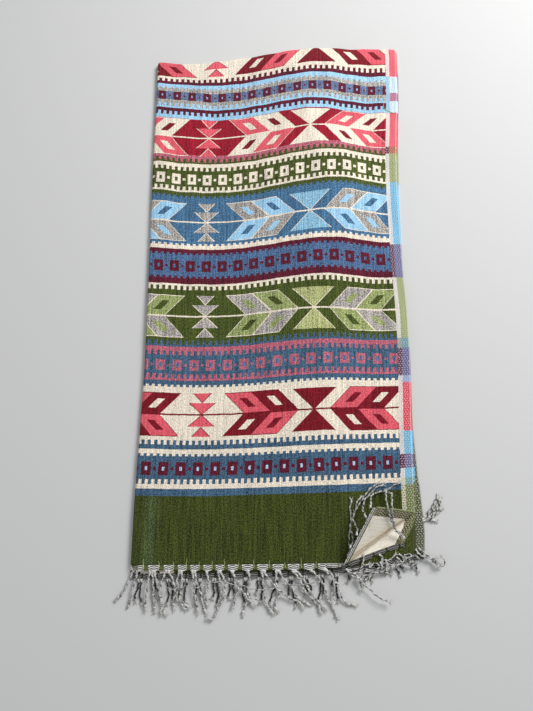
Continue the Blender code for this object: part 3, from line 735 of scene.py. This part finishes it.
print("materials")
warpPaint = warpEndPaint()
facePaint = clothFacePaint("wovenFace", selvedgeTable)
lowerPaint = clothFacePaint("wovenFaceBelow", lowerSelvedgeTable, 1.0)
backPaint = clothBackPaint()
twinePaint = twinedPaint("twinedEdge", "white", "black", "darkMoss", "moss", 17.0)
cornerTwine = twinedPaint("twinedEdgeTurned", "white", "charcoal", "darkMoss", "olive", 1.0)
# painted shade: the lower layers' edging is given darker yarns than the top layer's, for the shade
# it lies in
shadedTwine = twinedPaint("twinedEdgeBelowShaded", "ash", "black", "darkMoss", "black", 6.0)
brightCords = cordPaint("fringeCord", "slate", "white", 0.66)
# painted shade: the lowest layers' cords are painted darker than the top layer's, for the shade
# under it
shadedCords = cordPaint("fringeCordBelowShaded", "black", "charcoal", 0.52)
streakedCords = cordPaint("fringeCordTurned", "black", "white", 0.56, 0.32)


# The face: the top layer round both folds, its near right corner turned back
faceCloth = {"coarse": 80, "fine": 80, "fineFrom": 0.288, "near": 62, "nearTo": 0.092,
             "rest": 200, "rounding": 8}
turns = np.linspace(fold["turn"], 0.0, faceCloth["rounding"], endpoint=False)
uStations = np.concatenate([
    np.linspace(0.0, faceCloth["fineFrom"], faceCloth["coarse"], endpoint=False),
    np.linspace(faceCloth["fineFrom"], fold["width"], faceCloth["fine"])])
vStations = np.concatenate([
    np.linspace(0.0, faceCloth["nearTo"], faceCloth["near"], endpoint=False),
    np.linspace(faceCloth["nearTo"], farTurn, faceCloth["rest"])])
uAll = np.concatenate([np.zeros(len(turns)), uStations])
leftAll = np.concatenate([turns, np.zeros(len(uStations))])
vAll = np.concatenate([vStations, np.full(len(turns), farTurn)])
farAll = np.concatenate([np.zeros(len(vStations)), turns[::-1]])
points, weave = foldedPoints(*np.meshgrid(uAll, vAll), *np.meshgrid(leftAll, farAll))
store = newStore()
addGrid(store, turnedPoints(points), weave)
clothFace = finishPiece("cloth_face", store, [facePaint, backPaint],
                        ["front_panel"])
addWall(clothFace, fold["wall"], 1)


# The second layer: back up, close under the face, seen at the turned corner and the right
secondCloth = {"across": 110, "along": 190, "wall": 0.0012, "left": 0.004, "far": 0.002,
               "crowding": 1.4}      # more rows near the woven end
share = np.linspace(0.0, 1.0, secondCloth["along"]) ** secondCloth["crowding"]
u, v = np.meshgrid(np.linspace(secondCloth["left"], fold["width"], secondCloth["across"]),
                   share * (farTurn - secondCloth["far"]))
x, y = planOf(u, v, "inner")
grid = np.stack([x, y, heightOf(x, y) - fold["wall"] - fold["gap"]], axis=-1)
store = newStore()
addGrid(store, grid, np.stack([u, v], axis=-1))
clothSecond = finishPiece("cloth_second", store, [backPaint, facePaint],
                          ["under_layers"])
addWall(clothSecond, secondCloth["wall"], 1)


# The two lowest layers: one sheet folded at the left, its end and selvedge open
lowerCloth = {"across": 90, "bend": 8, "along": 150, "crowding": 1.3, "past": 0.0036,
              "wall": 0.98}         # as a share of the cloth's own
half = fold["lower"] / 4.0
flat = np.linspace(fold["width"], 0.0, lowerCloth["across"])
bend = np.linspace(0.0, math.pi, lowerCloth["bend"] + 2)[1:-1]
uLine = np.concatenate([flat, np.zeros(len(bend)), flat[::-1]])
zLine = np.concatenate([np.full(len(flat), fold["lower"] - half),
                        fold["lower"] / 2.0 + half * np.cos(bend), np.full(len(flat), half)])
outLine = np.concatenate([np.zeros(len(flat)), half * np.sin(bend), np.zeros(len(flat))])
v = np.linspace(0.0, 1.0, lowerCloth["along"]) ** lowerCloth["crowding"] * farTurn
uGrid, vGrid = np.meshgrid(uLine, v)
x, y = planOf(uGrid, vGrid, "under")
x = x + half - outLine
y = y + lowerCloth["past"] * eased((vGrid - farTurn + 0.01) / 0.01)
grid = np.stack([x, y, zLine[None, :] + 0.0 * x], axis=-1)
store = newStore()
addGrid(store, grid[:, ::-1], np.stack([uGrid, vGrid], axis=-1)[:, ::-1])
clothLower = finishPiece("cloth_lower", store, [lowerPaint, backPaint], ())
addWall(clothLower, fold["wall"] * lowerCloth["wall"], 1)
clothLower.modifiers["wall"].offset = 0.0


# a place past a layer's own end, square out from it by reach, at the end's own height
def beyondEnd(u, reach, layer):
    before, after = (np.stack(planOf(u + side, 0.0 * u, layer), axis=-1)
                     for side in (-0.002, 0.002))
    way = (after - before) / np.linalg.norm(after - before, axis=-1, keepdims=True)
    x, y = planOf(u, 0.0 * u, layer)
    return np.stack([x + way[..., 1] * reach, y - way[..., 0] * reach,
                     heightOf(x, y) + 0.0 * reach], axis=-1)


upright = np.array((0.0, 0.0, 1.0))


# each path gives places past a layer's end and the way up there, for a strip or a root
def frontPath(u, reach):
    return beyondEnd(u, reach, "face"), upright


def innerPath(u, reach):
    return beyondEnd(u, reach, "inner") - upright * (fold["wall"] + fold["gap"]), upright


def underPath(u, reach):
    points = beyondEnd(u, reach, "under")
    points[..., 2] = fold["lower"] - fold["seam"]
    return points, upright


# the top layer's end past the crest: straight in the flat, then turned with the corner
cornerStart = np.array(planOf(np.array(edging["cornerFrom"]), np.array(0.0), "face"))
cornerTip = np.array(planOf(np.array(fold["width"]), np.array(0.0), "face"))
cornerLine = (cornerTip - cornerStart) / np.hypot(*(cornerTip - cornerStart))
cornerLevel = heightOf(*corner["end"])


def cornerPath(t, reach):
    def at(along, out):
        flat = (cornerStart + along[..., None] * cornerLine
                + out[..., None] * np.array((cornerLine[1], -cornerLine[0])))
        level = np.full(flat.shape[:-1] + (1,), cornerLevel)
        return turnedPoints(np.concatenate([flat, level], axis=-1))

    step = 0.0005
    t, reach = t + 0.0 * reach, reach + 0.0 * t
    here = at(t, reach)
    out = at(t, reach + step) - here
    way = at(t + step, reach) - here
    up = np.cross(out, way)
    return here, up / np.linalg.norm(up, axis=-1, keepdims=True)


# the strip: a superellipse carried along its path, its top waved by the rows and their lay
def twinedStrip(store, path, start, end, width, tassels):
    t = np.linspace(start, end, max(6, round((end - start) / edging["step"])))[:, None]
    angle = np.linspace(0.0, math.tau, edging["sides"] + 1)[None, :] + 0.0 * t
    across = np.sign(np.cos(angle)) * np.abs(np.cos(angle)) ** edging["square"]
    raised = np.sign(np.sin(angle)) * np.abs(np.sin(angle)) ** edging["square"]
    share = (across + 1.0) / 2.0
    count = np.interp(t, tassels, np.arange(len(tassels)), left=-0.35)
    group = np.cos(math.tau * count)
    reach = fold["seam"] + share * (width + edging["bulge"] * group)
    points, up = path(t + 0.0 * share, reach)
    rows = np.cos(math.tau * (edging["rows"] * share - 0.2 * (1.0 - group)))
    lay = np.sin(math.tau * t / edging["lay"] + math.tau * edging["rows"] * share)
    relief = (edging["rowRise"] * rows + edging["layRise"] * lay) * np.clip(raised, 0.0, None)
    depth = edging["thick"] / 2.0 * (1.0 - raised) - relief
    points = points - up * depth[..., None]
    uv = np.stack([count + 0.0 * share, reach], axis=-1)
    addGrid(store, points[:, :-1], uv, wrap=True, caps=True)


# The cords: two plies twisted, so a waisted section that turns along a smooth route
cord = {
    "radius": 0.00158, "ring": 0.0010, "sides": 10, "plyPitch": 0.0085, "waist": 0.20,
    "neck": 0.9, "neckReach": 0.0046,      # wider where the tassel is gathered
    "knot": 0.50, "knotBack": 0.0050, "knotReach": 0.0013,
    "sway": 0.00045, "swayPitch": 0.0125, "swayFrom": 0.008,
    "taper": 0.35, "taperReach": 0.0035, "clear": 0.0002, "hairClear": 0.0009,
    "hairs": 7, "hairLength": 0.0058, "hairRadius": 0.00052, "hairSpread": 0.5,
    "hairAside": 0.0004, "hairRise": 0.4, "hairBend": 0.0006,
}
# What the other sorts of cord have in place of the usual radius, neck, knot and hairs
linkCord = {"radius": 0.0007, "neck": 0.0, "knot": 0.0, "hairs": 2}
cornerCord = {"radius": 0.0013, "neck": 0.4}
innerCord = {"radius": 0.00112, "neck": 0.3}
lowerCord = {"radius": 0.00125, "neck": 0.5}
sideCord = {"radius": 0.0017, "neck": 0.0}
chance = np.random.default_rng(7)


# a smooth curve through the route's places (Catmull-Rom), read at even steps along it
def smoothRoute(route, step):
    places = np.asarray(route, float)
    before, after = 2.0 * places[:1] - places[1:2], 2.0 * places[-1:] - places[-2:-1]
    places = np.concatenate([before, places, after])
    a, b, c, d = places[:-3, None], places[1:-2, None], places[2:-1, None], places[3:, None]
    t = np.linspace(0.0, 1.0, 12, endpoint=False)[None, :, None]
    curve = 0.5 * (2.0 * b + (c - a) * t + (2.0 * a - 5.0 * b + 4.0 * c - d) * t ** 2
                   + (3.0 * b - a - 3.0 * c + d) * t ** 3)
    curve = np.concatenate([curve.reshape(-1, 3), places[-2:-1]])
    lengths = np.concatenate([[0.0], np.cumsum(np.linalg.norm(np.diff(curve, axis=0), axis=1))])
    way = np.linspace(0.0, lengths[-1], max(4, round(lengths[-1] / step) + 1))
    return np.stack([np.interp(way, lengths, curve[:, axis]) for axis in range(3)], axis=-1), way


# the way on, and the ways sideways and up, along a line of points
def framesAlong(points):
    ahead = np.gradient(points, axis=0)
    ahead = ahead / np.linalg.norm(ahead, axis=1, keepdims=True)
    side = np.cross(ahead, upright + np.array((0.003, 0.002, 0.0)))
    side = side / np.linalg.norm(side, axis=1, keepdims=True)
    return ahead, side, np.cross(side, ahead)


# rings of a section round a line: radius by the way along it and the angle round it
def addTube(store, points, radius, turn, along):
    angle = np.linspace(0.0, math.tau, radius.shape[1])[None, :]
    _, side, up = framesAlong(points)
    rings = (points[:, None] + (radius * np.cos(angle))[..., None] * side[:, None]
             + (radius * np.sin(angle))[..., None] * up[:, None])
    uv = np.stack([along[:, None] + 0.0 * angle, (angle - turn[:, None]) / math.tau], axis=-1)
    addGrid(store, rings[:, :-1], uv, wrap=True, caps=True)


# a twisted cord along a route: wide at its neck and its knot, then loose ends of the yarn
def addCord(store, route, radius=cord["radius"], neck=cord["neck"], knot=cord["knot"],
            hairs=cord["hairs"]):
    points, way = smoothRoute(route, cord["ring"])
    phase, turned = chance.uniform(0.0, math.tau, 2)
    _, side, _ = framesAlong(points)
    swing = math.tau * way / cord["swayPitch"]
    sway = cord["sway"] * (np.sin(swing + phase) + 0.5 * np.sin(swing / 0.58 + 2.0 * phase))
    points = points + side * (sway * eased(way / cord["swayFrom"]))[:, None]
    left = way[-1] - way
    wide = radius * (1.0 + neck * np.exp(-(way / cord["neckReach"]) ** 2)
                     + knot * np.exp(-((left - cord["knotBack"]) / cord["knotReach"]) ** 2))
    wide = wide * (1.0 - cord["taper"] * eased((cord["taperReach"] - left) / cord["taperReach"]))
    points[:, 2] = np.maximum(points[:, 2], cord["clear"] + wide)
    turn = math.tau * way / cord["plyPitch"] + turned
    angle = np.linspace(0.0, math.tau, cord["sides"] + 1)
    waist = 1.0 - cord["waist"] + cord["waist"] * np.cos(2.0 * (angle - turn[:, None]))
    addTube(store, points, wide[:, None] * waist, turn, np.minimum(way, left))
    for _ in range(hairs):
        addHair(store, points)


# one loose end: straight ahead from near the cord's tip, swung aside, and slightly bent
def addHair(store, points):
    ahead, side, up = (ways[-1] for ways in framesAlong(points))
    yaw, rise = chance.normal(0.0, cord["hairSpread"], 2) * (1.0, 0.5)
    reach = cord["hairLength"] * chance.uniform(0.6, 1.1)
    begin = points[-3] + side * cord["hairAside"] * math.sin(5.0 * yaw)
    aim = ahead * math.cos(yaw) + side * math.sin(yaw) + up * cord["hairRise"] * rise
    t = np.linspace(0.0, 1.0, 5)[:, None]
    hair = begin + t * aim * reach + side * (cord["hairBend"] * t ** 2 * math.sin(9.0 * yaw))
    hair[:, 2] = np.maximum(hair[:, 2], cord["hairClear"])
    thin = cord["hairRadius"] * (1.0 - 0.5 * t) + np.zeros((1, 5))
    addTube(store, hair, thin, np.zeros(5), np.linspace(0.0, 0.002, 5))


mm = 0.001
# Routes of the top layer's cords over the floor in mm, root to tip, as they lie
frontRoutes = (
    ((5, -5), (0, -15), (-6, -29), (-13, -40), (-20, -46)),
    ((9, -6), (7, -18), (4, -29), (2, -41), (-2, -55)),
    ((27, -7), (24, -23), (23, -34), (22, -48), (22, -59)),
    ((30, -7), (31, -26), (32, -40), (33, -53), (35, -62)),
    ((32, -7), (38, -29), (43, -45), (45, -56), (50, -65)),
    ((49, -7), (43, -23), (41, -37), (44, -50), (44, -64)),
    ((51, -7), (58, -20), (61, -31), (65, -45), (74, -50), (81, -56)),
    ((69, -7), (71, -20), (70, -34), (69, -48), (77, -58)),
    ((85, -7), (87, -23), (89, -40), (91, -50), (95, -62)),
    ((88, -7), (91, -23), (97, -37), (100, -50), (105, -64)),
    ((105, -7), (107, -26), (104, -40), (106, -53)),
    ((122, -7), (129, -20), (130, -41), (123, -53), (119, -61), (116, -69), (108, -70)),
    ((121, -7), (123, -23), (125, -37), (122, -48)),
    ((140, -7), (145, -20), (152, -31), (160, -42), (165, -50), (171, -54)),
    ((139, -7), (149, -29), (145, -42), (141, -56)),
    ((161, -7), (165, -20), (161, -34), (164, -45), (157, -56), (155, -66)),
    ((181, -7), (184, -29), (185, -42), (190, -56), (197, -64)),
    ((183, -7), (192, -20), (206, -34), (221, -44), (233, -49), (238, -56)),
    ((204, -7), (212, -20), (223, -31), (230, -42), (238, -48), (248, -53)),
    ((224, -7), (233, -20), (240, -34), (250, -45), (259, -53), (261, -62)),
    ((226, -7), (236, -15), (247, -34), (256, -45), (270, -58)),
    ((248, -6), (258, -15), (268, -29), (271, -42), (278, -56), (285, -70)),
    ((266, -5), (280, -18), (287, -29), (291, -42), (297, -50), (311, -53)),
    ((267, -5), (277, -12), (281, -26), (279, -44)),
    ((68, -7), (64, -20), (66, -34), (59, -47), (61, -58)),
    ((202, -7), (200, -22), (205, -38), (199, -52), (203, -60)),
)
# Thin threads that cross them: routes as above, and heights
linkRoutes = (
    ((146, -20), (154, -26), (167, -31), (181, -32), (198, -31)),
    ((206, -23), (221, -26), (234, -26), (261, -22)),
    ((82, -30), (89, -30), (101, -27), (112, -23), (127, -22), (140, -25)),
    ((162, -41), (174, -45), (183, -47), (187, -42), (186, -34)),
    ((42, -24), (53, -30), (66, -30), (84, -26)),
)
# One thread pulled loose at the far end of the selvedge
looseThread = ((391, 745), (388, 741), (387, 735), (389, 729), (394, 727), (400, 724), (406, 722))
# The turned corner's cords as seen from the camera over the flat face, in mm, with their
# heights above it: the eye is at these plan places and this height
seenFrom = {"eye": (0.1875, 0.105, 0.7948), "over": 0.0068}
cornerRoutes = (
    ((301, 12, 11.5), (304, 19, 5), (303, 32, 1.6), (305, 48, 1.6), (307, 62, 1.6),
     (306, 75, 1.6), (309, 88, 1.6)),
    ((304, 22, 16.5), (308, 30, 11), (308, 38, 5), (306, 46, 3.4), (306, 55, 3.4), (309, 64, 2),
     (314, 75, 1.6), (317, 85, 1.6), (323, 91, 1.6)),
    ((314, 39, 24.5), (315, 48, 18), (312, 54, 10), (310, 62, 5), (314, 73, 3), (321, 83, 1.6),
     (328, 93, 1.6), (337, 103, 1.6), (349, 111, 1.6)),
    ((328, 63, 35), (326, 68, 30), (324, 73, 22), (325, 80, 12), (329, 89, 5), (337, 96, 2),
     (343, 103, 1.6), (355, 108, 1.6)),
    ((335, 76, 40.5), (336, 84, 34), (336, 90, 24), (340, 95, 12), (350, 98, 4), (359, 100, 1.8),
     (372, 108, 1.6), (380, 111, 1.6)),
    ((380, 34, 3), (374, 43, 6), (369, 46, 8), (366, 53, 14), (362, 66, 27), (360, 76, 34),
     (358, 88, 27), (358, 100, 9)),
    ((377, 38, 4), (369, 47, 10), (367, 58, 19), (366, 68, 27), (366, 77, 32), (366, 87, 24),
     (366, 96, 9)), ((381, 35, 4), (376, 41, 6), (371, 45, 8)),
)
# The second layer's cords, tangled past the turned corner; then those of the loose tassel
innerRoutes = (
    ((300, -10), (310, -11), (322, -6), (334, -8), (343, -4), (352, 2), (361, 8), (369, 14)),
    ((314, -17), (322, -21), (330, -14), (339, -9), (347, -10), (356, -11)),
    ((345, 4), (350, -6), (358, -7), (365, -4), (372, 2), (367, 3), (361, -1)),
    ((368, 10), (380, 1), (391, 0), (397, 3), (399, 9), (392, 12), (381, 8)),
    ((396, 20), (404, 11), (412, 11), (418, 6), (424, 0), (429, -1)),
    ((400, 22), (412, 12), (418, 7), (424, 8)), ((344, 14), (349, 9), (347, 3)),
    ((323, 15), (322, 8), (321, 1)), ((324, -28), (327, -20), (335, -12)),
    ((297, -6), (305, -7), (315, -5), (323, -1), (330, 1)),
    ((353, 4), (360, -3), (368, -1), (375, 2), (380, 6)),
    ((298, -6), (304, -12), (318, -23), (328, -31), (341, -42), (356, -48)),
    ((312, -14), (316, -22), (319, -34)), ((307, -12), (325, -9), (342, -12), (357, -5), (367, 0)),
    ((310, -18), (331, -12), (351, -8), (355, -1)),
    ((397, 16), (409, 9), (421, 7), (423, 0), (432, -1), (435, 6), (430, 10)),
    ((372, 14), (384, 6), (390, 9), (386, 14), (378, 10), (381, 2), (392, -3)),
    ((330, -4), (338, 2), (346, -1), (350, 6), (358, 5)),
)
sideRoutes = (
    ((408, 59, 3.0), (413, 64, 3.0), (420, 71, 2.6), (427, 80, 2.2), (431, 87, 2.0),
     (434, 92, 1.6)),
    ((409, 58, 3.0), (416, 60, 3.0), (424, 64, 2.6), (432, 69, 2.2), (438, 76, 1.8)),
    ((408, 58, 2.2), (414, 61, 2.4), (422, 67, 2.2), (430, 77, 1.8), (435, 83, 1.6),
     (437, 89, 1.5)),
    ((408, 60, 3.8), (415, 63, 3.4), (421, 65, 3.2), (430, 72, 3.0), (434, 80, 3.2),
     (436, 87, 2.6)), ((409, 57, 1.8), (415, 59, 1.8), (421, 59, 1.6), (429, 57, 1.5)),
)


# How high the top layer's cords lie: at their roots, over the cords below, and past them
frontLie = {"root": 0.0062, "over": 0.0041, "rise": 0.0010, "drop": 0.0021, "more": 0.0002,
            "past": -0.036, "easing": 0.016}
# The heights of the threads that cross them, and of the second layer's cords, in turns
linkLie = {"height": 0.0074, "step": 0.0004}
innerLie = {"height": 0.0050, "step": 0.0009, "sway": 0.0006}


# height along a top layer's cord: from its root down on to the cords below, then to the floor
def frontHeights(places, level):
    way = np.concatenate([[0.0], np.cumsum(np.hypot(*np.diff(places, axis=0).T))])
    drop = frontLie["drop"] + frontLie["more"] * level
    past = eased((frontLie["past"] - places[:, 1]) / frontLie["easing"])
    resting = frontLie["over"] + frontLie["rise"] * level - drop * past
    return frontLie["root"] + (resting - frontLie["root"]) * eased(way / frontLie["easing"])


# a closed piece of fringe
def finishFringe(name, store, material, *nodes):
    finishPiece(name, store, [material], nodes, closed=True)


# a strip of edging as one piece
def makeEdging(name, path, start, end, width, tassels, material, node):
    store = newStore()
    twinedStrip(store, path, start, end, width, tassels)
    finishFringe(name, store, material, node)


makeEdging("edging_front", frontPath, 0.0, edging["frontTo"], edging["width"], tasselPlaces,
           twinePaint, "fringe_front")
store = newStore()
for number, route in enumerate(frontRoutes):
    places = np.array(route) * mm
    addCord(store, np.column_stack([places, frontHeights(places, number % 3)]))
for number, route in enumerate(linkRoutes):
    places = np.array(route) * mm
    heights = np.full(len(places), linkLie["height"] + linkLie["step"] * number)
    addCord(store, np.column_stack([places, heights]), **linkCord)
finishFringe("cords_front", store, brightCords, "fringe_front")

# pale warp ends that lie up over the cloth between the tassels
warpEnd = {"from": -0.004, "reach": 0.0055, "uneven": 0.0025, "clear": 0.0003, "radius": 0.00055,
           "aside": 0.001, "sway": 0.0006, "swayTurns": 900.0, "ring": 0.001, "sides": 6,
           "looseClear": 0.0005, "looseRadius": 0.00042}
store = newStore()
for number, (first, second) in enumerate(zip(tasselPlaces[:-2], tasselPlaces[1:-1])):
    middle = (first + second) / 2.0 - warpEnd["aside"]
    reach = warpEnd["reach"] + warpEnd["uneven"] * math.sin(2.3 * number + 1.0)
    y = np.linspace(warpEnd["from"], reach, 5)
    x = middle + warpEnd["sway"] * np.sin(warpEnd["swayTurns"] * y + number)
    heights = heightOf(x, y) + warpEnd["clear"]
    places, _ = smoothRoute(np.column_stack([x, y, heights]), warpEnd["ring"])
    thin = warpEnd["radius"] * (1.0 - 0.6 * np.linspace(0.0, 1.0, len(places)))
    thin = thin[:, None] + np.zeros((1, warpEnd["sides"] + 1))
    addTube(store, places, thin, np.zeros(len(places)), np.linspace(0.0, 0.01, len(places)))
way = np.array(looseThread) * mm
heights = heightOf(way[:, 0], way[:, 1]) + warpEnd["looseClear"]
places, _ = smoothRoute(np.column_stack([way, heights]), warpEnd["ring"])
thin = np.full((len(places), warpEnd["sides"] + 1), warpEnd["looseRadius"])
addTube(store, places, thin, np.zeros(len(places)), np.zeros(len(places)))
finishFringe("loose_threads", store, warpPaint)

evenTassels = np.arange(0.006, 0.45, 0.0198)
makeEdging("edging_corner", cornerPath, 0.0, edging["cornerLength"], edging["narrow"],
           evenTassels, cornerTwine, "fringe_corner")
store = newStore()
eye = np.array(seenFrom["eye"])
for route in cornerRoutes:
    seen = np.array(route) * mm
    z = heightOf(seen[:, 0], seen[:, 1]) + seen[:, 2]
    share = (eye[2] - z) / (eye[2] - seenFrom["over"])
    places = eye[:2] + (seen[:, :2] - eye[:2]) * share[:, None]
    addCord(store, np.column_stack([places, z]), **cornerCord)
finishFringe("cords_corner", store, streakedCords, "fringe_corner")

makeEdging("edging_inner", innerPath, edging["innerFrom"], edging["to"], edging["narrow"],
           evenTassels, shadedTwine, "fringe_inner")
store = newStore()
for number, route in enumerate(innerRoutes):
    places = np.array(route) * mm
    heights = (innerLie["height"] + innerLie["step"] * (number % 4)
               + innerLie["sway"] * np.sin(2.1 * np.arange(len(places)) + number))
    addCord(store, np.column_stack([places, heights]), **innerCord)
finishFringe("cords_inner", store, streakedCords, "fringe_inner")

# The two lowest layers' cords follow one rule: uneven lengths and slants, close to the floor
below = {
    "tassels": 19, "first": 0.012, "pitch": 0.0205, "apart": 0.0016, "length": 0.030,
    "slant": 0.0035, "splay": 0.0020, "tip": 0.0014, "shortFrom": 0.288, "shortShare": 0.40,
    "blown": 0.010, "waver": 0.0014, "sink": 0.0008,
}
makeEdging("edging_under", underPath, edging["underFrom"], edging["to"], edging["width"],
           evenTassels, shadedTwine, "fringe_under")
store = newStore()
rootReach = np.array(fold["seam"] + edging["width"] - 0.001)
for number in range(2 * below["tassels"]):
    place = below["first"] + below["pitch"] * (number // 2)
    side = 2 * (number % 2) - 1
    root, _ = underPath(np.array(place + side * below["apart"]), rootReach)
    length = below["length"] * (1.0 + 0.27 * math.sin(1.9 * number) + 0.13 * math.sin(4.3 * number))
    if place > below["shortFrom"]:
        length *= below["shortShare"]
    past = (place - below["shortFrom"]) / (fold["width"] - below["shortFrom"])
    slant = below["slant"] * math.sin(1.3 * (number // 2)) + below["splay"] * side
    slant += below["blown"] * eased(past)
    t = np.linspace(0.0, 1.0, 6)
    x = root[0] + slant * eased(t) + below["waver"] * np.sin(math.tau * t + number)
    top = root[2] - below["sink"]
    z = top + (below["tip"] - top) * t
    addCord(store, np.column_stack([x, root[1] - length * t, z]), **lowerCord)
finishFringe("cords_under", store, shadedCords, "fringe_under")

store = newStore()
for route in sideRoutes:
    addCord(store, np.array(route) * mm, **sideCord)
finishFringe("cords_side", store, streakedCords, "fringe_side")


# Floor, lights and camera
room = {
    "floor": 6.0, "floorColour": (0.62, 0.62, 0.61, 1.0), "sky": (0.94, 0.97, 1.0, 1.0),
    "skyStrength": 0.34, "key": (1.35, 1.35, 1.60), "keySize": 1.0, "keyPower": 66.0,
    "fill": (-1.2, -0.8, 1.4), "fillSize": 1.6, "fillPower": 4.5,
}


# one square at height 0
def makeFloor():
    half = room["floor"] / 2.0
    mesh = bpy.data.meshes.new("floor")
    corners = [(x * half, y * half, 0.0) for x, y in ((-1, -1), (1, -1), (1, 1), (-1, 1))]
    mesh.from_pydata(corners, [], [(0, 1, 2, 3)])
    paint = Paint("paleFloor", 0.85, 0.0)
    paint.shader.inputs["Base Color"].default_value = room["floorColour"]
    mesh.materials.append(paint.material)
    floor = bpy.data.objects.new("floor", mesh)
    bpy.context.scene.collection.objects.link(floor)


# a square lamp at a place, turned to a target
def addLight(name, place, size, power, target):
    lamp = bpy.data.lights.new(name, "AREA")
    lamp.size = size
    lamp.energy = power
    lampObject = bpy.data.objects.new(name, lamp)
    lampObject.location = place
    lampObject.rotation_euler = (Vector(target) - Vector(place)).to_track_quat("-Z", "Y").to_euler()
    bpy.context.scene.collection.objects.link(lampObject)


# image 533 x 711; focal length 534 pixels, so 27.04 mm on a long side of 36 mm
def makeCamera():
    lens = bpy.data.cameras.new("camera")
    lens.sensor_width = 36.0
    lens.lens = 27.04
    lens.clip_start = 0.01
    camera = bpy.data.objects.new("camera", lens)
    x, y, z = seenFrom["eye"]
    camera.location = (x - fold["centre"][0], y - fold["centre"][1], z)
    camera.rotation_euler = (math.radians(90.0 - 76.2), 0.0, 0.0)      # 76.2 down from level
    bpy.context.scene.collection.objects.link(camera)
    bpy.context.scene.camera = camera


makeFloor()
addLight("key", room["key"], room["keySize"], room["keyPower"], (0.0, 0.0, 0.0))
addLight("fill", room["fill"], room["fillSize"], room["fillPower"], (0.0, 0.0, 0.0))
world = bpy.data.worlds.new("sky")
world.use_nodes = True
world.node_tree.nodes["Background"].inputs[0].default_value = room["sky"]
world.node_tree.nodes["Background"].inputs[1].default_value = room["skyStrength"]
bpy.context.scene.world = world
bpy.context.scene.view_settings.view_transform = "Standard"
makeCamera()
print("floor, lights and camera")
